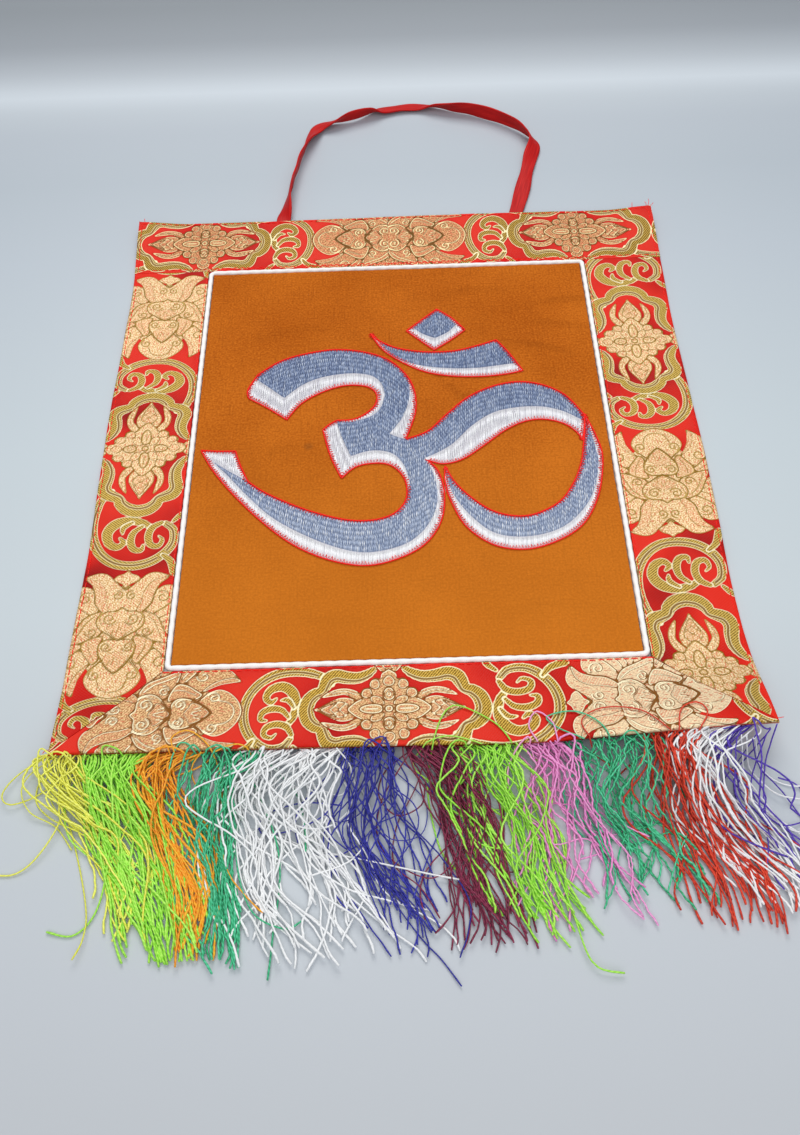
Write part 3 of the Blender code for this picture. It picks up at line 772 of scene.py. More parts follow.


# %% [markdown]
# ## Brocade finish
# The ground is a red satin, whose long floats give a soft broad gloss; its red drifts between
# darker and lighter patches, painted shade and sheen of soft folds.  The figures are gilt weft on
# top of it: flat metallic yarn over a core, so they are partly metallic and a little rough, with a
# fine twill of 1 mm crossed by a fainter one.  Contours are darker on the pale figures, with
# painted shade on one side and a painted highlight on the other, and cream on the olive ones.
# The head and foot copies, whose weft runs along, have darker gold, painted shade, and lighter
# reds, painted light; the head's gold is the darkest, and the foot has a band of painted
# highlight.  Figures and contours stand up by two or three tenths of a millimetre, drawn as bump.

# %% Brocade material
def brocade_finish(name, reds, pale, flecks, contour, spread, olive, cream, relief, gleam=None):
    """The brocade, for strips whose gilt weft lies one way: colours of its threads as hex codes.

    A contour has a colour on its outer side and one on its inner side, painted shade and painted
    highlight of a raised thread, and is wider by twice the spread; relief is its bump; both are in
    mm.  gleam is where along x, in metres, the pale figures begin and end to get a painted highlight.
    """
    made, tree, shader = finish_of(name, Roughness=0.45, IOR=1.5, Specular_IOR_Level=0.1)
    link = tree.links.new
    fill, line, tone, hatch, cord, flank = (
        number(tree, key) for key in ("fill", "line", "tone", "hatch", "cord", "flank"))
    gold, thread = step(tree, fill, -0.2, 0.2), step(tree, line, -0.16 - spread, 0.16 - spread)
    is_olive = step(tree, tone, 0.4, 0.6)
    lie = lie_of(tree)
    cloudy, grain = noise(tree, lie, 22.0, 1.5), noise(tree, lie, 1300.0, 1.0)
    rows = noise(tree, mapped(tree, lie, Rotation=(0, 0, math.radians(35)), Scale=(520, 1500, 1)))
    twill = ribs(tree, lie, 1.0 * MM, math.radians(38), 0.5)
    cross_twill = ribs(tree, lie, 1.5 * MM, math.radians(-52), 0.3)
    # the red drifts between darker and lighter patches: painted shade and sheen of soft folds in the satin
    red = ramp(tree, cloudy, *zip((0.34, 0.45, 0.58), reds))

    # pale figures: grainy gilt that catches the light, with red flecks where the ground shows
    on_pale = ramp(tree, grain, *zip((0.38, 0.62), pale))
    # painted highlight: a band along x where the pale figures are lighter
    if gleam:
        on_pale = blend(tree, step(tree, placed(tree, "X"), *gleam, 0.0, 0.55), on_pale, "#FFF0CC")
    on_pale = blend(tree, step(tree, rows, flecks, flecks + 0.08, 0.0, 0.8), on_pale, "#D06F50")

    # olive bands: light and dark lines of the twill, and the couched cord along the band
    on_olive = ramp(tree, grain, *zip((0.38, 0.62), olive))
    beside = arithmetic(tree, "ABSOLUTE", cord)
    for value, low, high, share, colour in (
            (twill, 0.60, 0.88, 0.65, "#E6C566"), (twill, 0.38, 0.10, 0.6, "#543A0C"),
            (beside, 1.0, 0.75, 0.55, cream), (beside, 0.62, 0.34, 0.9, "#7A5212")):
        on_olive = blend(tree, step(tree, value, low, high, 0.0, share), on_olive, colour)

    figure = blend(tree, is_olive, on_pale, on_olive)
    lattice = step(tree, ribs(tree, lie, 1.1 * MM, math.radians(30)), 0.5, 0.8)
    lattice = arithmetic(tree, "MULTIPLY", arithmetic(tree, "MULTIPLY", lattice, hatch), 0.5)
    figure = blend(tree, lattice, figure, "#D98A66")
    # contours: painted shade on their outer side and a painted highlight on their inner side, as on a
    # raised thread in light
    flanked = blend(tree, step(tree, flank, -0.12, 0.12), *contour)
    figure = blend(tree, thread, figure, blend(tree, is_olive, flanked, cream))
    link(blend(tree, gold, red, figure), shader.inputs["Base Color"])
    link(arithmetic(tree, "MULTIPLY", gold, 0.25), shader.inputs["Metallic"])
    link(step(tree, gold, 0, 1, 0.40, 0.46), shader.inputs["Roughness"])
    height = mixed(tree, (gold, 0.7), (thread, 0.7), (twill, 0.35), (cross_twill, 0.12))
    roughen(tree, shader, height, relief, 0.9)
    return made


# The head and foot copies carry painted light and shade: lighter reds (LIT_REDS), painted light, and
# darker gold than the upright copy, painted shade; the head's gold is painted darkest and the foot gets a
# band of painted highlight (gleam).
REDS, LIT_REDS = ("#980A06", "#C8180D", "#E42B1A"), ("#B8120A", "#D21F13", "#E4301F")
upright = brocade_finish("gilt_brocade_weft_across", REDS, ("#CC9C60", "#FAE0B4"), 0.62,
                         ("#8C6A22", "#B6944C"), -0.05, ("#94752A", "#CBAA55"), "#F4E7BE", 0.18)
head = brocade_finish("gilt_brocade_head_painted_shade_and_light", LIT_REDS, ("#945C34", "#E6B07C"), 0.56,
                      ("#6E4A18", "#F4DEA8"), 0.06, ("#5A3C0C", "#AE862C"), "#FBEDBC", 0.26)
foot = brocade_finish("gilt_brocade_foot_painted_light_and_shade", LIT_REDS, ("#AE784A", "#EFC892"), 0.62,
                      ("#84521E", "#FBEFC8"), 0.08, ("#86600C", "#D2A63A"), "#FBEFC0", 0.28,
                      gleam=(-0.02, 0.13))

# %% [markdown]
# ## Brocade strips
# Five lengths of the brocade frame the panel: two head lengths that meet in a seam left of the
# middle, two sides and a foot, the last three mitred.  Each is hemmed, so its edges roll down,
# and the running stitches draw it in a little every few millimetres.

# %% Strips
RIM = 0.0012                                       # m beside an edge that has points of its own
CELL = 0.58 * MM                                   # between the points of a strip
CLOTH_W = 0.3                                      # m, and about the length of a side strip
MITRE = 0.25 * MM                                  # between the strips at a mitre
TO_MITRE = 0.72                                    # distance to a mitre for each metre along a strip
# An edge that meets the piping, a mitre or a seam rolls down less: it counts as this far in.
AT_CORD, AT_MITRE, AT_SEAM = 0.3 * MM, 0.7 * MM, 0.78 * MM
HEAD_AXIS, FOOT_AXIS = 0.1537, -0.1545             # m, the pattern's middle line on each strip
LEFT_AXIS, RIGHT_AXIS = -0.1290, 0.1270


def spaced(low, high, cell):
    """Values from low to high about a cell apart, closer together next to both ends."""
    close = np.array([0.0, 0.2, 0.5, 0.9]) * MM
    count = max(2, round((high - low - 2 * RIM) / cell) + 1)
    return np.concatenate([low + close, np.linspace(low + RIM, high - RIM, count), (high - close)[::-1]])


def gather(x, y, edge):
    """Small rise and fall of cloth next to its stitches, along an edge at that distance."""
    run = np.sin(x / (1.45 * MM) + 0.8 * np.sin(y / (7 * MM)))
    run = run + np.sin(y / (1.6 * MM) + 0.7 * np.sin(x / (9 * MM)))
    ripple = np.sin(x / (5.3 * MM) + y / (8.1 * MM)) * np.sin(y / (6.7 * MM) - x / (17 * MM))
    return (0.05 * run * np.exp(-((edge / MM - 2.0) / 1.6) ** 2) + 0.10 * ripple) * MM


def strip(name, x, y, s, t, edges, finish):
    """One length of brocade: s is how far along the woven repeat each point lies, t across it."""
    values = read_weave(s / MM, t / MM)
    made = shell(name + "_cloth", x, y, gather(x, y, edges), edges, finish, 12, values,
                 uv=np.stack([s, t], -1))
    return dress(made, name, slot="red_brocade")


def head_strip(name, left, right, s_of_x):
    """A length of the head strip, from the panel's seam up to the hem."""
    x, y = np.meshgrid(spaced(left, right, CELL), spaced(HY + GAP, Y_HEAD, CELL))
    seam = np.minimum(np.minimum(x - left, right - x) + AT_SEAM, y - HY - GAP + AT_CORD)
    return strip(name, x, y, s_of_x(x), y - HEAD_AXIS, np.minimum(seam, Y_HEAD - y), head)


def side_strip(name, sign, s_of_y, axis):
    """A side strip, on the left where sign is -1, with the mitre at its foot."""
    across = spaced(HX + GAP, X_OUT, CELL)
    share = (across - HX - GAP) / (SIDE_W - GAP)
    low = -HY + (Y_FOOT + MITRE + HY) * share
    v = spaced(0.0, CLOTH_W, CELL * 0.985) / CLOTH_W
    x = np.broadcast_to(sign * across, (len(v), len(across)))
    y = low + (HY - low) * v[:, None]
    seam = np.minimum((y - low) * TO_MITRE, HY - y) + AT_MITRE
    edges = np.minimum(np.minimum(np.abs(x) - HX - GAP + AT_CORD, X_OUT - np.abs(x)), seam)
    if sign < 0:
        x, y, edges = x[:, ::-1], y[:, ::-1], edges[:, ::-1]
    return strip(name, x, y, s_of_y(y), x - axis, edges, upright)


def foot_strip():
    """The foot strip, mitred at both its ends."""
    v = spaced(0.0, FOOT_W - GAP, CELL) / (FOOT_W - GAP)
    u = spaced(0.0, CLOTH_W, CELL) / CLOTH_W
    half = X_OUT + (HX - MITRE - X_OUT) * v[:, None]
    x = half * (2 * u - 1)
    low = Y_FOOT - MITRE
    y = np.broadcast_to((low + (-HY - GAP - low) * v)[:, None], x.shape)
    seam = np.minimum((half - np.abs(x)) * TO_MITRE + AT_MITRE, -HY - GAP - y + AT_CORD)
    edges = np.minimum(seam, y - low)
    return strip("border_bottom", x, y, x + 0.1387, y - FOOT_AXIS, edges, foot)


# Each strip was cut from its own place along the repeat, in metres, and laid either way up.
header_left = head_strip("header_left", -X_OUT, SEAM_X - 0.03 * MM, lambda x: 0.0197 - x)
header_right = head_strip("header_right", SEAM_X + 0.03 * MM, X_OUT, lambda x: x + 0.0270)
border_left = side_strip("border_left", -1, lambda y: 0.1291 - y, LEFT_AXIS)
border_right = side_strip("border_right", 1, lambda y: y + 0.0665, RIGHT_AXIS)
border_bottom = foot_strip()

# %% [markdown]
# ## The embroidered sign
# The sign is the traditional Om in Devanagari, drawn here as smooth curves through points in mm
# from the middle of the panel.  On the real banner a machine lays padded satin stitches that
# all run nearly up and down: blue on the strokes, white along their lower sides so that they
# seem to stand off the cloth, and a red zigzag round every outline.  Here each stitch is a thin
# closed spindle.  The stitches stand in columns 0.5 mm apart, and a long blue column is broken
# every 3.1 mm in rows that follow the top of the stroke.

# %% The sign's outlines
def outline(*curves):
    """A closed line of smooth curves that meet in corners, each from where the last one ended."""
    starts = [curve[-1] for curve in curves[-1:] + curves[:-1]]
    pieces = [through([start] + curve, 6 * len([start] + curve))[:-1]
              for start, curve in zip(starts, curves)]
    line = np.concatenate(pieces)
    return np.concatenate([line, line[:1]])


TOP_BOWL = [(-64, 56.4), (-51, 61.6), (-34, 64.4), (-17.6, 61.6), (-5, 55), (3.4, 44.4)]
ARM_TOP = [(13.6, 4), (23.6, 15), (35, 26.4), (47.4, 33.4), (61, 36.4), (73.6, 34), (85, 26.4), (92.6, 14)]
TAIL_IN = [(-67.6, -32.4), (-55, -40), (-42.6, -46), (-27.6, -51), (-15, -51.8), (-5, -48.6), (1, -41.4)]
BODY = outline(
    TOP_BOWL + [(7.6, 33), (8.2, 20), (5.8, 9), (2.4, -1)],
    ARM_TOP + [(93.8, 10.6)],
    [(92.8, 3), (91, -5.6)],
    [(88.6, 0.2), (82.4, 6.4), (72.4, 9.6), (62.4, 8.2), (52.4, 2.6), (42.4, -6), (31, -15), (21, -18),
     (13, -15.4)],
    [(18, -22.6), (20.4, -36), (18.6, -52.4), (11, -66), (-1.4, -74.4), (-17.6, -78.6), (-35, -75),
     (-51.4, -66), (-67.6, -51), (-82.6, -33.6), (-94, -17.4), (-100.8, -4.2)],
    [(-92, -5.2), (-83.2, -5.4)],
    [(-80.2, -15), (-75.8, -25.5)],
    TAIL_IN + [(2.2, -33), (0.4, -25), (-5, -18.2), (-12.6, -16.2), (-22.6, -18.2), (-29.8, -25.4)],
    [(-34, -15), (-37, -5), (-39.6, 7)],
    [(-36.4, 10.4), (-32.6, 13.2)],
    [(-25, 13.4), (-18.8, 16.4), (-13.2, 22.6), (-12, 30), (-15.8, 35.6), (-24, 37.6), (-32.6, 36.6),
     (-42.6, 32), (-51.4, 25), (-58.2, 14.4)],
    [(-68, 22.4), (-78.6, 30)],
    [(-79.4, 36), (-74.8, 47.2)])
BODY_BLUE = outline(
    TOP_BOWL + [(4.8, 38), (4.6, 26), (1, 13.8), (-5.8, 2.6)],
    [(-2, 0.6), (2.4, -1)],
    ARM_TOP + [(93.2, 8)],
    [(90, 10), (82.4, 15), (72.4, 18.2), (60, 18.2), (47.4, 15), (36, 6.4), (26, -5), (17.4, -11),
     (11.6, -13.6)],
    [(15, -23), (17, -36), (15, -48.6), (8.6, -60), (-1.4, -67.6), (-17.6, -71.2), (-32.6, -67.4),
     (-48.8, -58.6), (-64, -47.4), (-76.4, -33.6), (-86.4, -21), (-95.6, -10.4)],
    [(-88, -17), (-75.8, -25.5)],
    TAIL_IN + [(3, -34), (3.6, -28), (1, -17.6), (-5, -10), (-15, -8), (-25.2, -11.2)],
    [(-28.6, -2), (-30.8, 5), (-32.6, 13.2)],
    [(-25, 12.2), (-15, 15.2), (-9.8, 21.4), (-8, 30), (-9.4, 37.8), (-14, 43.6), (-22.6, 46),
     (-32.6, 45.6), (-42.6, 43.2), (-51.4, 38.2), (-60, 29.4)],
    [(-67, 36), (-75.2, 43.8)],
    [(-75.2, 45.6), (-74.8, 47.2)])
CRESCENT_IN = [(26, -30), (33.6, -40), (43.6, -48.6), (55, -52), (65, -50.4), (76, -43.6), (83.6, -32.4),
               (88.6, -20), (91, -8.6), (93, 2.6), (93.8, 12.4)]
CRESCENT = outline(
    [(98, -2.4), (99.6, -17.4), (95, -40), (86, -57.4), (72.4, -67.4), (57.4, -71.8), (42.4, -68.6),
     (30, -57.4), (23.6, -42.4), (21, -30), (21.4, -19.2)], CRESCENT_IN)
CRESCENT_BLUE = outline(
    [(96.2, -5), (97, -20), (92.4, -38.6), (83.6, -52.4), (72.4, -61), (57.4, -64.4), (43.6, -61.8),
     (33.6, -52.4), (26, -40), (22.4, -28.6), (21.4, -19.2)], CRESCENT_IN)
MOON_TOP = [(-1.4, 64.4), (10, 61.2), (20, 60.2), (31, 60.8), (42.4, 63.8), (52.6, 67.4)]
MOON = outline([(-10, 70)] + MOON_TOP, [(58.6, 57.4), (65.2, 44.2)],
               [(55, 42), (42.4, 41), (27.4, 42), (13.6, 45.8), (1, 53.8), (-9, 63.8), (-15, 75.8)])
MOON_BLUE = outline(MOON_TOP, [(58, 58.6), (63, 50)],
                    [(51, 48.2), (40, 47.2), (27.4, 47.6), (15, 49.6), (3.6, 53.8), (-5, 60.2), (-10, 70)])
DOT = outline([(29.6, 86), (36.4, 76.4)], [(28.4, 69), (19, 61.6)], [(11.4, 69.6), (4.4, 77)],
              [(12.6, 85), (21.6, 93.4)])
DOT_BLUE = outline([(27, 87.6), (31.6, 80.8)], [(26.8, 75), (19.8, 70.6)], [(13.2, 74.4), (8.2, 79.6)],
                   [(14.4, 86.2), (21.6, 92.8)])
SHAPES = ((BODY, BODY_BLUE), (CRESCENT, CRESCENT_BLUE), (MOON, MOON_BLUE), (DOT, DOT_BLUE))
print("points on the sign's outlines:", [len(whole) for whole, _ in SHAPES])

# %% Padding under the stitches
PAD_STEP, PAD_X, PAD_LOW, PAD_HIGH = 0.6, 108, -90, 102     # mm, from the panel's middle
FAR = -30.0                                        # mm outside the sign
pad_x, pad_y = np.meshgrid(np.arange(-PAD_X, PAD_X, PAD_STEP), np.arange(PAD_LOW, PAD_HIGH, PAD_STEP),
                           indexing="ij")
sign_edge, blue_edge = np.full(pad_x.shape, FAR), np.full(pad_x.shape, FAR)
for whole, blue in SHAPES:
    for field, line in ((sign_edge, whole), (blue_edge, blue)):
        part = near(pad_x, pad_y, line, 14)
        field[part] = np.maximum(field[part], depth_in(pad_x[part], pad_y[part], line))


def read_pad(field, x, y):
    """A field over the panel read at plan x, y in metres, blended between its cells."""
    i = np.clip((x / MM + PAD_X) / PAD_STEP, 0, field.shape[0] - 1.001)
    j = np.clip((y / MM - PAD_LOW) / PAD_STEP, 0, field.shape[1] - 1.001)
    return between(field, i, j)


PAD_H, PAD_SLOPE = 0.9 * MM, 2.6


def padding(x, y):
    """Height of the padded stitching over the cotton: PAD_H (1 - exp(-d / PAD_SLOPE)) inside."""
    return PAD_H * (1 - np.exp(-np.maximum(read_pad(sign_edge, x, y), 0) / PAD_SLOPE))


CREASES = (
    # x, y, turn in degrees, half length, half width, height: soft creases, in mm
    (30, 34, -52, 12, 3.6, 0.90), (22, 40, -58, 10, 3.0, -0.66), (76, 66, -16, 22, 4.2, 0.84),
    (84, 84, -8, 18, 4.8, 0.78), (92, 102, 4, 26, 4.5, 0.72), (40, 112, 6, 30, 5.1, 0.66),
    (97, -14, 12, 9, 3.9, 0.90), (98, -30, 8, 8, 3.6, -0.72), (-92, 60, 70, 20, 5.4, 0.60),
    (-60, 84, 12, 26, 5.1, 0.54), (-30, -104, -6, 34, 5.7, 0.54), (60, -100, 8, 30, 5.4, 0.60),
    (-88, -70, -40, 22, 5.1, 0.60), (14, -60, 60, 10, 3.6, 0.54), (-60, -2, 24, 14, 3.9, 0.48),
)


def drawn_in(x, y):
    """Lie of the cotton: puckers that fade over 12 mm from the stitching, creases, a tight seam."""
    d = read_pad(sign_edge, x, y)
    wave = np.sin(x / (5.1 * MM) + 1.2 * np.sin(y / (16 * MM)))
    wave = wave * np.sin(y / (6.3 * MM) + 0.9 * np.sin(x / (21 * MM)))
    broad = np.sin(x / (23 * MM) + 0.7) * np.sin(y / (29 * MM) - 0.4)
    lift = 0.20 * wave * np.exp(np.minimum(d, 0) / 9) * (d < 0) + 0.12 * broad
    for cx, cy, turn, length, width, height in CREASES:
        c, s = math.cos(math.radians(turn)), math.sin(math.radians(turn))
        u, v = x / MM - cx, y / MM - cy
        u, v = u * c + v * s, v * c - u * s
        lift = lift + height * np.exp(-(u / length) ** 2 - ((v + 0.006 * u * u) / width) ** 2)
    seam = np.minimum(HX - np.abs(x), HY - np.abs(y)) / MM
    tight = 0.14 * np.exp(-((seam - 4) / 5) ** 2)
    lift = lift + tight * np.sin(x / (4.1 * MM) + 2 * np.sin(y / (13 * MM))) * np.sin(y / (5.3 * MM))
    return lift * MM * np.clip(-d / 3, 0, 1)


print("sign area, cm2:", round(float((sign_edge > 0).sum()) * PAD_STEP ** 2 / 100, 1))

# %% [markdown]
# ## Cotton panel
# A plain-weave ochre cotton of some 20 threads a centimetre, hemmed and held by the piping.
# The finish is a close matt weave whose tone drifts slightly at random.  It is painted lighter
# toward the foot, painted light, and painted darker on one side of the creases, painted shade.
# Under the embroidery the cloth carries the ground stitches in the sign's own colours.

# %% Panel
def panel_finish():
    """Dyed cotton: plain weave, slubs both ways, one smudge, the sign's ground stitches, painted light and
    shade.
    """
    made, tree, shader = finish_of("dyed_cotton", Roughness=0.85, IOR=1.45, Specular_IOR_Level=0.06)
    lie = lie_of(tree)
    grain, cloudy = noise(tree, lie, 900.0, 2.0), noise(tree, lie, 18.0, 3.0)
    warp, weft = ribs(tree, lie, 0.5 * MM), ribs(tree, lie, 0.5 * MM, math.radians(90))
    dye_and_painted_light = ramp(tree, mixed(tree, (grain, 0.6), (cloudy, 0.4)), (0.37, "#A9520E"), (0.63, "#D0721F"))
    for turned in ((60, 1800, 1), (1800, 60, 1)):
        slub = noise(tree, mapped(tree, lie, Scale=turned), detail=1.0)
        dye_and_painted_light = blend(tree, step(tree, slub, 0.52, 0.82, 0.0, 0.42), dye_and_painted_light, "#8E430C")
    depth = put(tree, "ShaderNodeSeparateXYZ", {"Vector": lie}).outputs["Y"]
    # painted shade on one side of the creases, where the cloth slopes one way
    dye_and_painted_light = blend(tree, step(tree, number(tree, "crease_shade_slope"), 0.0, 0.34, 0.0, 0.55), dye_and_painted_light, "#7E3A0A")
    # painted light: lighter toward the foot
    low = step(tree, depth, 0.05, -0.12)
    dye_and_painted_light = blend(tree, arithmetic(tree, "MULTIPLY", low, 0.5), dye_and_painted_light, "#D57F24")
    smudge = mapped(tree, lie, Location=(0.0466, 0.0036, 0))
    smudge = put(tree, "ShaderNodeVectorMath", {0: smudge}, operation="LENGTH").outputs["Value"]
    smudge = arithmetic(tree, "MULTIPLY", step(tree, smudge, 0.0034, 0.0008), 0.35)
    dye_and_painted_light = blend(tree, smudge, dye_and_painted_light, "#6B4320")
    ground = blend(tree, step(tree, number(tree, "blue"), -0.3, 0.3), "#CFCBD2", "#5F7096")
    inside_sign = step(tree, number(tree, "sign"), -0.1, 0.5)
    tree.links.new(blend(tree, inside_sign, dye_and_painted_light, ground), shader.inputs["Base Color"])
    roughen(tree, shader, mixed(tree, (warp, 0.5), (weft, 0.5)), 0.08, 0.7)
    return made


in_x, in_y = HX - CORD_D - GAP, HY - CORD_D - GAP
PANEL_CELL = 1.4 * MM
x, y = np.meshgrid(spaced(-in_x, in_x, PANEL_CELL), spaced(-in_y, in_y, PANEL_CELL))
edges = np.minimum(in_x - np.abs(x), in_y - np.abs(y))
slope = (drawn_in(x, y + MM) - drawn_in(x, y - MM)) / (2 * MM)
on_panel = {"sign": read_pad(sign_edge, x, y), "blue": read_pad(blue_edge, x, y), "crease_shade_slope": slope}
panel = shell("panel_cloth", x, y, drawn_in(x, y) + 0.8 * padding(x, y), edges + 0.2 * MM,
              panel_finish(), 4, on_panel)
dress(panel, "panel", slot="panel_cotton")

# %% Satin stitches
COLUMN, LEAN = 0.50, 0.06                          # mm between columns, and their lean
BLUE_LONG, BLUE_R = 3.1, 0.34                      # mm, length and radius of a blue stitch
WHITE_LONG, WHITE_R = 9.0, 0.35                    # mm, and of a white one
TUCK = 0.1                                         # mm of a stitch inside the cloth at each end


def runs(whole, blue):
    """Each column's stretches inside the blue and inside the white, as rows (x, low, high)."""
    found = {"blue": [], "white": []}
    lean = lambda line: np.stack([line[:, 0] - LEAN * line[:, 1], line[:, 1]], 1)
    whole, blue = lean(whole), lean(blue)
    y = np.arange(PAD_LOW, PAD_HIGH, 0.08)

    def parity(line, x):
        """True at the heights y of column x that lie inside the closed line."""
        a, b = line[:-1], line[1:]
        hit = (a[:, 0] > x) != (b[:, 0] > x)
        cut = a[hit, 1] + (x - a[hit, 0]) / (b[hit, 0] - a[hit, 0]) * (b[hit, 1] - a[hit, 1])
        return np.searchsorted(np.sort(cut), y) % 2 == 1

    for x in np.arange(np.ceil(whole[:, 0].min() / COLUMN), whole[:, 0].max() / COLUMN) * COLUMN:
        in_blue, in_whole = parity(blue, x), parity(whole, x)
        for key, mask in (("blue", in_blue & in_whole), ("white", in_whole & ~in_blue)):
            change = np.diff(np.r_[0, mask.astype(int), 0])
            low, high = np.nonzero(change > 0)[0], np.nonzero(change < 0)[0]
            found[key] += [(x, y[i], y[j - 1]) for i, j in zip(low, high) if j - i > 6]
    return {key: np.array(rows) for key, rows in found.items()}


def broken(rows, length):
    """Cuts the stretches into stitches of about that length, staggered from column to column."""
    cut = []
    for x, low, high in rows:
        first = high - length * (0.76 + 0.24 * (round(x / COLUMN) % 2)) + rng.uniform(-0.45, 0.45)
        marks = np.arange(first, low + 0.4 * length, -length)
        marks = np.r_[high, marks + rng.uniform(-0.35, 0.35, len(marks)), low]
        cut += [(x, b, a) for a, b in zip(marks[:-1], marks[1:])]
    return np.array(cut)


def satin(name, stitches, radius, finish):
    """Closed spindles along the stitches: thick in the middle, tucked in at both ends."""
    x0, low, high = stitches.T
    f = np.array([0.03, 0.5, 0.97])
    y = (low - TUCK)[:, None] * (1 - f) + (high + TUCK)[:, None] * f
    x = x0[:, None] + LEAN * y + rng.normal(0, 0.05, (len(x0), 1)) + rng.normal(0, 0.04, y.shape)
    plan_x, plan_y = x * MM, y * MM
    belly = np.array([-0.13, 0.20, -0.13]) * MM * np.clip((high - low) / 3, 0.4, 1.5)[:, None]
    up = SHEET_T + padding(plan_x, plan_y) + belly + rng.normal(0, 0.035, (len(x0), 1)) * MM
    size = np.broadcast_to(radius * MM * np.array([0.5, 1.0, 0.5]), y.shape)[..., None]
    shade = 0.30 + 0.34 * (np.round(x0 / COLUMN) % 2) + rng.uniform(-0.30, 0.36, len(x0))
    return tubes(name, lay(plan_x, plan_y, up), size, 4, finish, squash=0.8, ends=0.8, shade=shade)


def thread_finish(name, dark, light, bright):
    """Glossy embroidery thread: stitches differ in tone, and shine more toward the foot."""
    made, tree, shader = finish_of(name, Roughness=0.28, IOR=1.55)
    shade = number(tree, "shade")
    tone = ramp(tree, shade, (0.0, dark), (0.55, light), (1.0, bright))
    low = ramp(tree, shade, (0.0, light), (0.7, bright), (1.0, "#FFFFFF"))
    near_foot = step(tree, placed(tree, "Y"), 0.04, -0.06, 0.0, 0.7)
    tree.links.new(blend(tree, near_foot, tone, low), shader.inputs["Base Color"])
    return made


blue_thread = thread_finish("blue_rayon_thread", "#5A698F", "#90A1C2", "#C8D2E3")
white_thread = thread_finish("white_rayon_thread", "#CFCCD6", "#F4F3F6", "#FFFFFF")
found = [runs(whole, blue) for whole, blue in SHAPES]
rest_rows = np.concatenate([f["blue"] for f in found[1:]])
white_rows = np.concatenate([f["white"] for f in found])
for name, rows, length, radius, finish in (
        ("sign_blue_body", found[0]["blue"], BLUE_LONG, BLUE_R, blue_thread),
        ("sign_blue_rest", rest_rows, BLUE_LONG, BLUE_R, blue_thread),
        ("sign_white", white_rows, WHITE_LONG, WHITE_R, white_thread)):
    dress(satin(name, broken(rows, length), radius, finish), slot="panel_cotton")

# %% Red zigzag round the sign
SWING, REACH_OUT, REACH_IN = 0.75, 0.40, 1.7       # mm between swings, and how far they reach
SWING_LIFT, SWING_R = 0.46, 0.27                   # mm over the padding, and the thread's radius
EDGE_STEP, EDGE_LIFT, EDGE_R = 0.9, 0.50, 0.36     # mm: the edge cord's points, height, radius


def zigzag(line, spacing, outward, inward):
    """Swings from side to side of a closed line, one point a swing, by those reaches in mm."""
    line = even(line, spacing)
    along = np.gradient(line, axis=0)
    along /= np.linalg.norm(along, axis=1, keepdims=True) + 1e-9
    area = (line[:-1, 0] * line[1:, 1] - line[1:, 0] * line[:-1, 1]).sum()
    swing = np.where(np.arange(len(line)) % 2 == 0, inward, -outward) * rng.uniform(0.75, 1.25, len(line))
    return line + np.stack([-along[:, 1], along[:, 0]], 1) * swing[:, None] * np.sign(area)


def over_sign(line, lift):
    """Points of a plan line, lift mm above the padded cloth."""
    x, y = line[:, 0] * MM, line[:, 1] * MM
    return lay(x, y, SHEET_T + padding(x, y) + lift * MM)


red_thread = finish_of("red_rayon_thread", Base_Color=srgb("#FF2A22"), Roughness=0.5,
                       Specular_IOR_Level=0.12)[0]
for key, (whole, _) in zip(("body", "crescent", "moon", "dot"), SHAPES):
    swings = over_sign(zigzag(whole, SWING, REACH_OUT, REACH_IN), SWING_LIFT)
    along = over_sign(even(whole, EDGE_STEP), EDGE_LIFT)
    dress(tubes("sign_red_" + key, swings[None], SWING_R * MM, 4, red_thread), slot="panel_cotton")
    dress(tubes("sign_edge_" + key, along[None], EDGE_R * MM, 5, red_thread), slot="panel_cotton")

# %% [markdown]
# ## Piping and running stitches
# The piping is a white cotton cord of two plies, 2.6 mm thick, bent round the panel's corners.
# The red running stitches that hold it show just outside it; the same stitches run up the
# side hems, along the top and across the foot of the head strip.  A few loose ends of red
# thread stand out at the outer corners.

# %% Piping
def frame_path(half_x, half_y, bend, spacing):
    """A closed path round a rectangle with bent corners, from the middle of its top side."""
    turn = np.linspace(0, np.pi / 2, 9)
    corner = lambda sx, sy, start: np.stack([sx * (half_x - bend) + bend * np.cos(start + turn),
                                             sy * (half_y - bend) + bend * np.sin(start + turn)], 1)
    line = np.concatenate([[(0, half_y)], corner(-1, 1, np.pi / 2), corner(-1, -1, np.pi),
                           corner(1, -1, 1.5 * np.pi), corner(1, 1, 0), [(0, half_y)]])
    return even(line, spacing)


CORD_SIDES, TWIST_STEPS = 12, 12.0                 # round the cord, and along it for half a twist
cord = finish_of("white_cotton_cord", Base_Color=srgb("#FDFBF7"), Roughness=0.7)[0]
plan = frame_path(HX - CORD_D / 2, HY - CORD_D / 2, 2.2 * MM, 0.55 * MM)
centre = np.concatenate([plan, (rise(plan[:, 0], plan[:, 1]) + CORD_D / 2 + GAP)[:, None]], 1)
turn = np.linspace(0, 2 * np.pi, CORD_SIDES, endpoint=False)
twist = np.arange(len(plan))[:, None] * 2 * np.pi / TWIST_STEPS
size = CORD_D / 2 * (0.84 + 0.16 * np.abs(np.cos(turn - twist / 2)))
piping = tubes("piping_cord", centre[None], size[None], CORD_SIDES, cord)
dress(piping, "piping", slot="white_piping")


# %% Running stitches
RUN_LONG, RUN_SPACE, RUN_R = 3.0 * MM, 0.6 * MM, 0.23 * MM     # length, space between, radius
HEM_IN = 1.9 * MM                                  # from the outer edge in to the hem's stitches


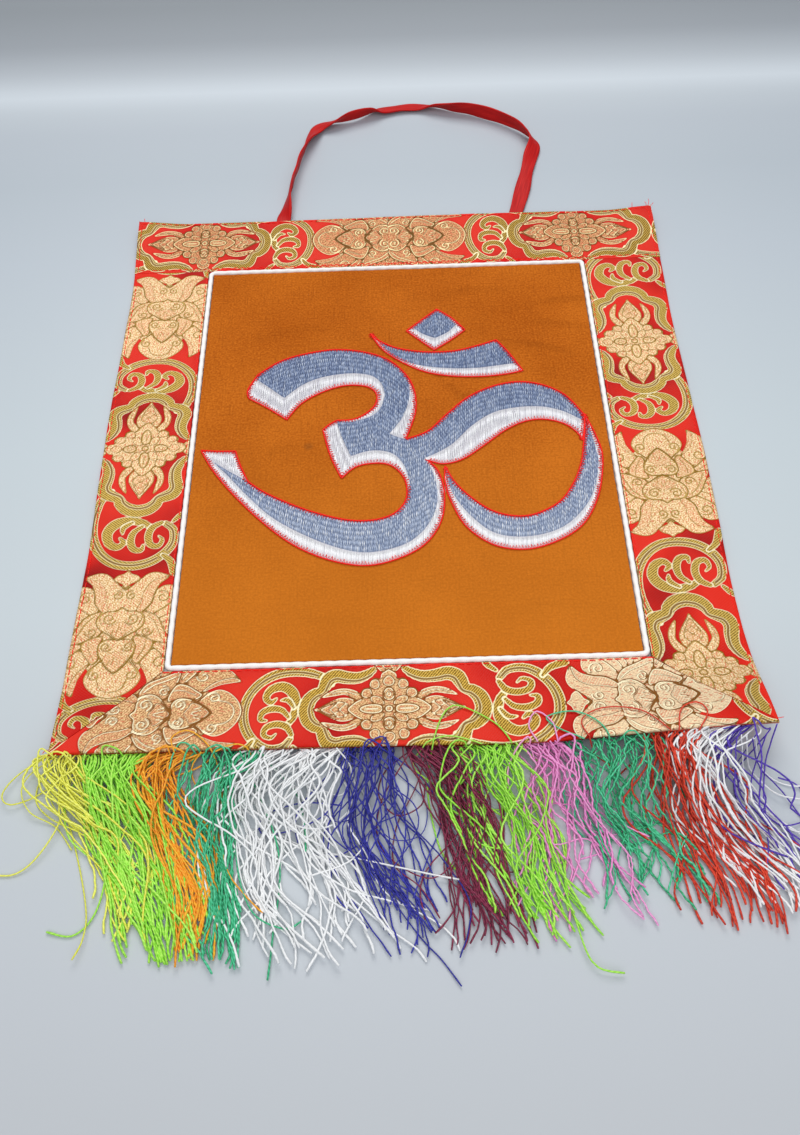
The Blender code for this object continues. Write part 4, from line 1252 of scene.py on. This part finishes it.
def running(name, lines):
    """Short closed stitches along plan lines: each dips into the cloth at both its ends."""
    starts, ends = [], []
    for line in lines:
        line = even(np.array(line, float), 0.5 * MM)
        marks = np.arange(RUN_SPACE, lengths_along(line)[-1] - RUN_LONG, RUN_LONG + RUN_SPACE)
        marks = marks + rng.uniform(-0.15, 0.15) * MM
        starts.append(points_at(line, marks))
        ends.append(points_at(line, marks + RUN_LONG + rng.normal(0, 0.15 * MM, len(marks))))
    a, b = np.concatenate(starts), np.concatenate(ends)
    f = np.array([0.0, 0.18, 0.5, 0.82, 1.0])[:, None]
    plan = a[:, None] * (1 - f) + b[:, None] * f + rng.normal(0, 0.08 * MM, (len(a), 1, 2))
    up = SHEET_T + np.array([-0.35, 0.10, 0.16, 0.10, -0.35]) * MM
    return tubes(name, lay(plan[..., 0], plan[..., 1], up), RUN_R, 5, red_thread)


def box_line(half_x, low, high):
    """A closed rectangle, from its left foot corner."""
    return [(-half_x, low), (half_x, low), (half_x, high), (-half_x, high), (-half_x, low)]


near_cord = box_line(HX + 1.1 * MM, -HY - 1.1 * MM, HY + 1.3 * MM)
hem = box_line(X_OUT - HEM_IN, Y_FOOT + HEM_IN, Y_HEAD - HEM_IN)[1:]
head_seam = [(-X_OUT + 2 * MM, HY + 2.2 * MM), (X_OUT - 2 * MM, HY + 2.2 * MM)]
dress(running("running_stitches", [near_cord, hem, head_seam]), slot="red_satin")

# %% Frayed ends
FRAYS = np.array([
    # x,    y,  heading, bend, length: loose ends of thread at the corners, in mm and degrees
    (148.4, 171.6, 62, 40, 6.0), (149.4, 170.8, 28, 50, 4.0), (139.6, 171.8, 96, -30, 3.6),
    (147.6, 171.8, 78, 60, 3.0), (-147.2, 171.8, 118, -40, 3.0), (-149.0, 170.6, 150, -30, 2.4),
    (149.4, -170.4, -20, 50, 3.4), (-149.6, -171.0, 205, 40, 3.0)])


def frayed(x, y, heading, bend, length):
    """Middle lines of loose ends: each leaves its point on its heading and bends steadily."""
    t = np.linspace(0, 1, 7)
    angle = np.radians(heading[:, None] + bend[:, None] * t)
    step_x, step_y = (length[:, None] * part(angle) / 6 for part in (np.cos, np.sin))
    plan_x = (x[:, None] + np.cumsum(step_x, 1) - step_x) * MM
    plan_y = (y[:, None] + np.cumsum(step_y, 1) - step_y) * MM
    height = rise(x * MM, y * MM)[:, None] + (1.4 + 0.9 * np.sin(2.4 * t)) * MM
    return np.stack([plan_x, plan_y, height], -1)


dress(tubes("frayed_ends", frayed(*FRAYS.T), 0.15 * MM, 4, red_thread), slot="red_satin")

# %% [markdown]
# ## Hanging strap
# A red satin ribbon, folded to about 9 mm and pressed.  Both ends are tacked under the head
# strip, and the loop between them turns from its flat on to its edge and back several times.
# It is one closed band round a middle line; each row of the line also gives the band's roll.

# %% Strap
STRAP = np.array([
    # x,     y,     z in mm and roll in degrees
    (-66.5, 159.0, 0.95, 0), (-66.4, 167.0, 1.00, 0), (-66.2, 174.5, 1.30, 4), (-65.0, 183.0, 3.20, 38),
    (-63.0, 199.0, 4.80, 72), (-60.0, 218.0, 5.00, 84), (-56.5, 236.0, 4.90, 78), (-52.6, 251.0, 3.90, 44),
    (-49.6, 261.5, 2.00, 16), (-46.0, 267.0, 1.80, 12), (-36.5, 270.0, 3.80, 42), (-25.0, 274.0, 4.90, 80),
    (-15.5, 278.6, 4.40, 54), (-7.5, 282.2, 2.10, 16), (5.0, 285.0, 1.70, 10), (19.0, 285.2, 1.90, 14),
    (29.0, 283.0, 3.70, 40), (40.0, 279.4, 4.70, 66), (52.0, 275.6, 5.00, 84), (63.0, 269.8, 5.00, 88),
    (73.0, 263.2, 5.00, 88), (82.4, 253.0, 4.90, 80), (88.0, 241.6, 3.60, 38),
    (84.2, 226.0, 2.40, 14), (79.0, 204.0, 1.60, 4), (74.0, 184.0, 1.30, 2), (71.2, 174.0, 1.10, 0),
    (69.8, 167.0, 1.00, 0), (68.2, 159.0, 0.95, 0)])
STRAP_W, STRAP_T = 9.4 * MM, 1.2 * MM


def band_along(name, line, roll, width, thickness, material):
    """A closed flat band round a line (n, 3): rounded edges, two layers, a soft cockle across it."""
    n = len(line)
    ahead = np.gradient(line, axis=0)
    level = np.stack([ahead[:, 1], -ahead[:, 0], np.zeros(n)], 1)
    level /= np.linalg.norm(level, axis=1, keepdims=True)
    side = level * np.cos(roll)[:, None] + np.array([0, 0, 1]) * np.sin(roll)[:, None]
    normal = np.cross(side, ahead)
    normal /= np.linalg.norm(normal, axis=1, keepdims=True)
    half = (width - thickness) / 2
    spread = np.linspace(-1, 1, 11)
    bend = np.linspace(-np.pi / 2, np.pi / 2, 5)[1:-1]
    rim = np.cos(bend) * thickness / 2
    across = np.r_[spread * half, half + rim, spread[::-1] * half, -half - rim]
    flat = np.ones(len(spread))
    lift = np.r_[-flat, np.sin(bend), flat, -np.sin(bend)] * thickness / 2
    run = lengths_along(line)[:, None]
    share = across / half
    cockle = 0.22 * MM * np.sin(run / (7.5 * MM) + 1.7 * share + 1.5 * np.sin(run / (31 * MM)))
    cockle = cockle + 0.18 * MM * np.sin(run / (3.1 * MM) - 2.2 * share) * np.abs(share)
    fade = np.minimum(1, np.minimum(run, run[-1] - run) / (14 * MM))
    width_now = 1 - 0.09 * (1 + np.sin(run / (9 * MM) + 1.6 * np.sin(run / (23 * MM)))) * fade
    rings = (line[:, None] + side[:, None] * (across * width_now)[..., None]
             + normal[:, None] * (lift + cockle * fade)[..., None])
    k = len(across)
    quads = grid_faces(n, k, wrap=True)
    caps = np.stack([np.arange(k)[::-1], (n - 1) * k + np.arange(k)])
    uv = np.stack(np.broadcast_arrays(across, run), -1).reshape(-1, 2)
    return make_mesh(name, rings.reshape(-1, 3), [quads, caps], material, uv)


def satin_finish(name, dark, light, roughness):
    """Satin: a smooth gloss broken by threads that run along the ribbon."""
    made, tree, shader = finish_of(name, Roughness=roughness, IOR=1.5, Specular_IOR_Level=0.12)
    streak = noise(tree, mapped(tree, lie_of(tree), Scale=(2600, 60, 1)), detail=1.0)
    tree.links.new(ramp(tree, streak, (0.3, dark), (0.7, light)), shader.inputs["Base Color"])
    roughen(tree, shader, streak, 0.05, 0.5)
    return made


line = even(through(STRAP, 900), 1.2)
strap = band_along("strap_band", line[:, :3] * MM, np.radians(line[:, 3]), STRAP_W, STRAP_T,
                   satin_finish("red_satin_ribbon", "#A80D10", "#D0201C", 0.5))
dress(strap, "hanging_strap", slot="red_satin")

# %% [markdown]
# ## Fringe
# Thirteen bunches of rayon yarn hang from the foot hem.  A maker knots each bunch on to the hem
# through its own stitches; here the yarns start on the hem at different heights, arch over the
# knots, come down to the table and wander to their tips.  A bunch leans and spreads as one: the
# places of its two sides at seven depths are the driving numbers.  Each yarn is one closed tube.

# %% The bunches
# For each bunch: yarns, thickness of the heap, shortest and longest reach, yarn radius and crimp,
# how loose it lies, then rows of (depth below the hem, left side, right side), in mm.
BUNCHES = {
    "yellow": (32, 2.4, 46, 80, 0.42, 0.10, 1.0, [
        (0, -151, -137), (5, -157, -136), (13, -155, -136), (26, -146, -129), (41, -134, -118),
        (57, -125, -110), (84, -116, -101)]),
    "lime": (66, 4.6, 62, 90, 0.44, 0.08, 0.6, [
        (0, -138, -107), (5, -137, -108), (14, -134, -114), (35, -125, -100), (57, -114, -94),
        (78, -106, -87), (92, -100, -84)]),
    "orange": (46, 4.4, 60, 88, 0.44, 0.07, 0.5, [
        (0, -108, -79), (4, -112, -87), (11, -113, -97), (30, -105, -90), (52, -94, -81),
        (68, -89, -79), (90, -91, -80)]),
    "green": (42, 3.8, 60, 92, 0.42, 0.20, 0.5, [
        (0, -92, -60), (6, -90, -63), (16, -88, -71), (36, -87, -70), (58, -82, -70), (78, -80, -68),
        (93, -77, -68)]),
    "white": (56, 3.4, 58, 90, 0.46, 0.10, 1.25, [
        (0, -67, -22), (6, -69, -27), (17, -71, -33), (37, -63, -30), (59, -60, -20), (75, -55, -10),
        (92, -50, -2)]),
    "navy": (34, 4.4, 54, 90, 0.33, 0.10, 1.2, [
        (0, -28, -5), (6, -26, -6), (15, -25, -7), (37, -28, -9), (54, -22, -3), (70, -14, 7),
        (91, -5, 15)]),
    "maroon": (48, 3.6, 60, 87, 0.34, 0.08, 0.8, [
        (0, -4, 19), (6, -1, 22), (16, 6, 28), (38, 13, 32), (59, 18, 36), (75, 19, 40),
        (90, 15, 44)]),
    "lime_right": (40, 4.2, 54, 86, 0.42, 0.12, 1.1, [
        (0, 16, 46), (4, 19, 45), (10, 22, 43), (23, 18, 48), (39, 25, 52), (60, 32, 56),
        (88, 38, 68)]),
    "pink": (30, 3.4, 44, 82, 0.40, 0.20, 1.3, [
        (0, 44, 64), (5, 49, 67), (12, 53, 69), (29, 51, 73), (50, 51, 81), (66, 50, 84),
        (84, 55, 88)]),
    "green_right": (32, 3.0, 38, 80, 0.42, 0.22, 1.3, [
        (0, 63, 102), (5, 69, 101), (13, 73, 100), (30, 69, 99), (51, 77, 107), (70, 72, 112),
        (84, 70, 116)]),
    "red": (50, 4.6, 54, 82, 0.40, 0.08, 0.75, [
        (0, 94, 122), (5, 98, 118), (12, 101, 115), (31, 103, 119), (47, 110, 128), (62, 115, 138),
        (84, 118, 142)]),
    "white_right": (38, 4.4, 46, 78, 0.43, 0.08, 1.0, [
        (0, 113, 144), (5, 110, 133), (12, 109, 125), (31, 111, 131), (47, 120, 142), (62, 130, 151),
        (80, 140, 158)]),
    "purple": (10, 3.4, 34, 66, 0.36, 0.10, 1.2, [
        (0, 132, 150), (5, 123, 143), (12, 119, 136), (25, 119, 131), (38, 126, 152), (48, 134, 160),
        (68, 146, 170)]),
}
print("yarns in the bunches:", sum(bunch[0] for bunch in BUNCHES.values()))

# %% Yarn finish
# For each colour: the dark and the light side of its plies.
YARN_COLOURS = {
    "yellow": ("#DEDC30", "#FDFF7A"), "lime": ("#86DA20", "#C6FE6A"), "orange": ("#F08400", "#FFC42C"),
    "green": ("#0C9A5E", "#5EDCA8"), "white": ("#ECEDEC", "#FFFFFF"), "navy": ("#15167A", "#3A3EB8"),
    "maroon": ("#580826", "#9C2A52"), "pink": ("#E27AC0", "#FFB2E2"), "red": ("#B41E0A", "#F04A26"),
    "purple": ("#40249A", "#6A4AC8"),
}
YARN_TWIST = 2.2 * MM                              # along the yarn for one turn of its plies
STRAY_R = 0.5 * MM                                 # room that a stray keeps to what lies below
SEGMENTS = 44                                      # points along each yarn


def yarn_finish(name, dark, light):
    """Rayon yarn: two twisted plies, glossy, a little lighter or darker from yarn to yarn."""
    made, tree, shader = finish_of(name + "_rayon_yarn", Roughness=0.45, IOR=1.5, Sheen_Weight=0.05)
    part = put(tree, "ShaderNodeSeparateXYZ", {"Vector": lie_of(tree)})
    turn = mixed(tree, (part.outputs["Y"], 2 * math.pi / YARN_TWIST), (part.outputs["X"], math.pi))
    ply = arithmetic(tree, "MULTIPLY", arithmetic(tree, "ADD", arithmetic(tree, "SINE", turn), 1.0), 0.5)
    tone = mixed(tree, (ply, 0.5), (number(tree, "shade"), 0.5))
    tree.links.new(ramp(tree, tone, (0.0, dark), (1.0, light)), shader.inputs["Base Color"])
    roughen(tree, shader, ply, 0.15, 0.6)
    return made


# %% How yarns lie
def meander(depth, size, longest, count):
    """Smooth sideways wandering of each path, zero at its root: sines of random phase and pace."""
    n = len(depth)
    order = np.arange(1, count + 1)
    phase = rng.uniform(0, 2 * np.pi, (n, 1, count))
    pace = rng.uniform(0.6, 1.2, (n, 1, count)) * order * 2 * np.pi / longest
    swing = size * rng.normal(0, 1, (n, 1, count)) / order
    return (swing * (np.sin(pace * depth[..., None] + phase) - np.sin(phase))).sum(-1)


def settle(x, y, z, radius, over=True):
    """Keeps a path above the table and, where it runs over the cloth, above that, and rounds it."""
    on_cloth = (y > Y_FOOT - 0.6 * MM) & over
    floor = np.where(on_cloth, rise(x, y) + SHEET_T + GAP, 0.0) + radius
    z = np.maximum(z, floor)
    for _ in range(3):
        soft = np.concatenate([z[:, :1], (z[:, :-2] + z[:, 1:-1] + z[:, 2:]) / 3, z[:, -1:]], 1)
        z = np.maximum(soft, floor)
    return z


def bunch_paths(n, heap, short, long, radius, crimp, loose, rows):
    """Paths (n, SEGMENTS, 3) of one bunch's yarns, from under the hem to the tips.

    Each yarn has a place q across the bunch.  It shares a clump's wandering with its neighbours,
    and its own place drifts a little more at each row, so that yarns cross.  A few loose yarns
    wander widely, and a few curl back over the hem before they fall.
    """
    rows = np.array(rows, float)
    k = len(rows)
    q = (np.arange(n) + rng.uniform(0.05, 0.95, n)) / n
    clumps = n // 6
    clump = np.minimum((q * clumps).astype(int), clumps - 1)
    centre = (clump + 0.5) / clumps
    drift = rng.normal(0, 1, (n, k)) * np.r_[0, 0.09, 0.11, 0.12, 0.13, 0.12, 0.12]
    drift = np.cumsum(drift, 1) * (0.6 + 0.6 * loose)
    pull = np.r_[0, 0.3, 0.6, 0.75, 0.7, 0.6, 0.4]
    place = q[:, None] * (1 - pull) + centre[:, None] * pull + drift
    free = rng.random((n, 1)) < 0.06 + 0.20 * loose
    place = np.where(free, place + rng.normal(0, 0.45, (n, 1)) * np.linspace(0, 1, k), place)
    bound = 0.62 + 0.2 * loose
    place = 0.5 + bound * np.tanh((place - 0.5) / bound)
    x_rows = rows[:, 1] + (rows[:, 2] - rows[:, 1]) * place
    fine = through(np.stack([np.broadcast_to(rows[:, 0], (n, k)), x_rows], -1), 12 * (k - 1) + 1)
    reach = short + (long - short) * rng.beta(2.2, 1.5, n)
    depth = reach[:, None] * np.linspace(0, 1, SEGMENTS) ** 1.3
    late = rng.normal(0, 2.4 + 2.6 * loose, (n, 1)) * np.sin(np.pi * np.clip(depth / 34, 0, 1)) ** 0.7
    mark = np.interp(depth + late, fine[0, :, 0], np.arange(fine.shape[1]))
    i = np.minimum(mark.astype(int), fine.shape[1] - 2)
    f = mark - i
    along = np.arange(n)[:, None]
    x = fine[along, i, 1] * (1 - f) + fine[along, i + 1, 1] * f

    # sideways: the clump's wandering and its own, then crimp, then a fan at the knots
    grown = np.clip(depth / 26, 0, 1)
    shared = meander(np.tile(depth.mean(0), (clumps, 1)), 1.6 + 1.4 * loose, 90.0, 2)[clump]
    x = x + (shared + meander(depth, 0.9 + 1.2 * loose, 80.0, 2)) * grown
    x = x + free * meander(depth, 4.0, 90.0, 2) * grown
    wave, phase = rng.uniform(3.4, 4.6, (n, 1)), rng.uniform(0, 6.3, (n, 1))
    x = x + crimp * np.sin(depth * 2 * np.pi / wave + phase)
    x = x + meander(depth, 3.4 * crimp, 30.0, 3) * grown
    x = x + rng.normal(0, 1.2 + loose, (n, 1)) * np.sin(np.pi * np.clip(depth / 13, 0, 1))

    # the few that curl back over the hem, and the way down from it
    curl = rng.random((n, 1)) < 0.015 + 0.03 * loose
    arch = curl * rng.uniform(6, 9, (n, 1)) * np.sin(np.pi * np.clip((depth - 0.5) / 16, 0, 1)) ** 1.5
    sway = rng.uniform(6, 12, (n, 1)) * rng.choice([-1, 1], (n, 1))
    sway = sway * (smooth(depth / 15) - smooth((depth - 18) / 20))
    x = (x + curl * sway) * MM
    start = np.where(curl, 0.8, -2.4)
    own = meander(depth, 0.5 + 0.8 * loose, 80.0, 2) * grown
    y = Y_FOOT - (start + depth - 1.35 * arch + own) * MM

    # height: from the hem over the knots to the yarn's own level in the heap
    level = rng.permutation(n)[:, None] / n
    hem = rise(x[:, :1], Y_FOOT) + (2.7 * level - 3.4) * MM
    rest = radius * MM + level * heap * 0.55 * MM * (1 - 0.5 * np.clip(depth / 80, 0, 1))
    land = 20 + 14 * level + 1300 * rise(x[:, :1], Y_FOOT)
    down = np.clip(depth / land, 0, 1)
    over = (0.8 + 1.6 * loose * level + heap * 0.6 * level) * MM * np.sin(np.pi * down)
    z = rest + (hem - rest) * (1 - smooth(down)) + over
    z = z + np.abs(meander(depth, 0.6 + 0.3 * loose, 60.0, 2)) * grown * MM + arch * 0.35 * MM
    z = z + 0.35 * crimp * MM * np.cos(depth * 2 * np.pi / 4.0 + level * 40)
    return np.stack([x, y, settle(x, y, z, radius * MM, curl)], -1)


# %% Stray yarns
# Yarns that leave their bunch, as plan points in mm from the banner's middle.
STRAYS = {
    "yellow": (
        [(-152.5, -174), (-161, -177), (-167.5, -187.5), (-164, -192.5), (-155, -189), (-147.5, -183)],
        [(-140, -174), (-141, -190), (-143, -204), (-150, -216), (-158, -221.5), (-168, -221)],
        [(-150, -174), (-137, -205), (-127, -235), (-126, -248), (-129, -256)],
        [(-146, -174), (-156, -177), (-160, -186), (-155, -196), (-144, -202), (-136, -212)],
        [(-143, -174), (-152, -179), (-154, -190), (-146, -199), (-134, -205)],
        [(-146, -176), (-142, -190), (-132, -200), (-124, -214), (-114, -222), (-104, -220)],
        [(-141, -174), (-149, -184), (-144, -196), (-132, -204), (-122, -214)]),
    "lime": (
        [(-121, -174), (-120, -210), (-122, -235), (-130, -246), (-141, -244.5)],
        [(-134, -174), (-141, -190), (-138, -206), (-130, -214), (-118, -222)]),
    "orange": (
        [(-86, -174), (-90, -182), (-80, -200), (-73, -222), (-66, -232), (-58, -240)],
        [(-97, -174), (-99, -167), (-93, -163.5), (-86, -168), (-80, -177), (-77, -192), (-80, -210)],
        [(-80, -174), (-71, -171), (-65, -176), (-70, -185), (-79, -190), (-84, -204), (-86, -226)]),
    "green": (
        [(-66, -174), (-70, -212), (-63, -238), (-50, -246), (-43, -243)],
        [(-70, -174), (-53, -215), (-54, -250), (-55, -265)],
        [(-62, -174), (-55, -181), (-47, -190), (-43, -204), (-42, -216)]),
    "white": (
        [(-40, -174), (-43, -214), (-28, -230), (-10, -236), (6, -240)],
        [(-61, -178), (-62, -198), (-46, -212), (-22, -219), (4, -226), (18, -229)],
        [(-48, -174), (-58, -179), (-66, -190), (-70, -206), (-67, -226), (-60, -240)],
        [(-30, -174), (-24, -182), (-28, -192), (-38, -190), (-44, -200), (-40, -224), (-30, -246)],
        [(-52, -174), (-56, -190), (-48, -204), (-34, -206), (-24, -196), (-28, -184)],
        [(-36, -176), (-20, -190), (-16, -206), (-24, -220), (-40, -226)]),
    "navy": (
        [(-20, -174), (-22, -205), (-10, -232), (2, -250), (10, -259), (17, -269)],
        [(-25, -174), (-34, -200), (-58, -208), (-60, -200), (-45, -195), (-28, -197)],
        [(-26, -174), (-36, -186), (-46, -200), (-44, -214), (-32, -218), (-22, -214)],
        [(-9, -174), (-1, -186), (-4, -200), (-14, -206), (-20, -216), (-14, -232)],
        [(-16, -174), (-4, -184), (6, -196), (4, -210), (-8, -212), (-14, -202), (-8, -192)],
        [(-22, -174), (-33, -182), (-38, -194), (-30, -204), (-20, -200), (-16, -188)],
        [(-12, -174), (-2, -180), (8, -190), (12, -204), (6, -220), (0, -236)]),
    "maroon": (
        [(2, -174), (-12, -195), (-12, -215), (5, -228), (16, -222), (20, -205)],
        [(3, -174), (-9, -180), (-13, -192), (-6, -202), (4, -198), (6, -188)],
        [(8, -174), (2, -190), (-6, -206), (-7, -222), (3, -232), (10, -244)],
        [(12, -174), (22, -188), (16, -202), (24, -216), (38, -226), (48, -222)]),
    "lime_right": (
        [(42.5, -174), (36, -164), (22.5, -155), (16, -157), (11, -169),
         (7, -190), (11, -215), (17.5, -225)],
        [(40, -174), (50, -200), (60, -240), (66, -262), (77.5, -266)],
        [(30, -174), (16, -170), (4, -175), (2, -182), (14, -192), (24, -200), (28, -216)],
        [(44, -174), (54, -182), (55, -196), (46, -206), (52, -220), (56, -238)],
        [(36, -174), (26, -186), (20, -200), (26, -214), (38, -216), (44, -206), (40, -194)],
        [(26, -174), (16, -184), (20, -196), (34, -200), (48, -198), (58, -208), (60, -224)],
        [(32, -176), (38, -196), (52, -206), (58, -220), (50, -234), (46, -246)]),
    "pink": (
        [(53, -174), (50, -166), (54, -159), (60, -165), (62, -176), (70, -186), (82, -194)],
        [(58, -174), (66, -182), (74, -196), (84, -208), (94, -214)],
        [(50, -176), (56, -200), (54, -220), (46, -230), (40, -240)],
        [(60, -174), (72, -180), (76, -190), (66, -196), (56, -192), (52, -202), (58, -214)],
        [(56, -176), (50, -188), (56, -198), (70, -200), (80, -206), (76, -218), (66, -222)],
        [(62, -178), (58, -192), (66, -206), (80, -212), (90, -206)],
        [(54, -180), (48, -206), (56, -216), (70, -214), (78, -226)]),
    "green_right": (
        [(80, -174), (77, -190), (82, -206), (94, -216), (108, -224), (114, -229)],
        [(96, -174), (108, -188), (112, -206), (104, -222), (98, -236)],
        [(72, -174), (62, -168), (58, -162), (70, -160), (80, -168), (84, -182)],
        [(88, -174), (92, -190), (84, -200), (74, -196), (72, -186)],
        [(92, -176), (102, -192), (98, -208), (86, -212), (80, -226), (84, -238)],
        [(76, -176), (70, -194), (74, -210), (88, -216), (104, -212), (112, -220)]),
    "red": (
        [(107, -174), (97, -162), (82, -159), (72, -165), (76, -176), (84, -184)],
        [(110, -174), (113, -163), (120, -160), (123, -166), (117, -176), (110, -188)],
        [(102, -174), (85, -188), (89, -200)],
        [(106, -174), (98, -190), (100, -206), (112, -216), (124, -220)]),
    "white_right": (
        [(117, -174), (117, -200), (108, -217), (104, -221)],
        [(122, -174), (110, -188), (100, -190), (92, -188)],
        [(140, -178), (148, -190), (160, -194), (174, -191)],
        [(136, -178), (146, -196), (158, -200), (172, -201)],
        [(134, -178), (140, -200), (150, -212), (166, -216), (176, -222)]),
    "purple": (
        [(149, -174), (146, -184), (142, -200), (142, -217), (146, -228)],
        [(140, -178), (128, -190), (120, -204), (118, -218)],
        [(138, -180), (150, -196), (160, -212), (172, -214)],
        [(144, -178), (138, -196), (146, -210), (160, -206), (158, -194), (150, -190)],
        [(146, -176), (134, -186), (132, -200), (140, -214), (138, -226)]),
}


def stray_path(points):
    """One stray yarn: up off the hem, over whatever lies below it, to its tip."""
    line = even(through(np.array(points, float), 200), 1.0)
    line = line[np.linspace(0, len(line) - 1, SEGMENTS).astype(int)]
    x, y = line[:, 0] * MM, line[:, 1] * MM
    start = np.minimum(np.arange(SEGMENTS) / 7, 1)
    z = STRAY_R + (1.1 + 1.2 * np.sin(np.linspace(0, 7, SEGMENTS) + points[0][0])) * MM
    z = z * start + (rise(x, np.full_like(y, Y_FOOT)) + 2.4 * MM) * (1 - start)
    return np.stack([x, y, settle(x[None], y[None], z[None], STRAY_R)[0]], 1)


# %% Yarns of the fringe
YARN_SIDES = 5
print("yarns that stray:", sum(len(lines) for lines in STRAYS.values()))
finishes = {}
for name, bunch in BUNCHES.items():
    n, radius = bunch[0], bunch[4]
    colour = name.replace("_right", "")
    own = [stray_path(points)[None] for points in STRAYS.get(name, ())]
    paths = np.concatenate([bunch_paths(*bunch)] + own)
    if colour not in finishes:
        finishes[colour] = yarn_finish(colour, *YARN_COLOURS[colour])
    thin = np.r_[np.ones(n), np.full(len(own), 0.8)][:, None, None]
    size = radius * MM * thin * rng.uniform(0.85, 1.15, (len(paths), 1, 1))
    size = size * np.r_[np.ones(SEGMENTS - 3), 1.1, 1.25, 1.0][:, None]
    shade = rng.uniform(0, 1, len(paths))
    made = tubes("yarns_" + name, paths, size, YARN_SIDES, finishes[colour], shade=shade)
    dress(made, "fringe_" + name, slot=colour + "_yarn")

# %% [markdown]
# ## Closing
# The box of the finished scene is kept next to the frame's own.

# %% Finish
size = {"cad": [list(corner) for corner in cad_box], "scene": [list(corner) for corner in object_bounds()]}
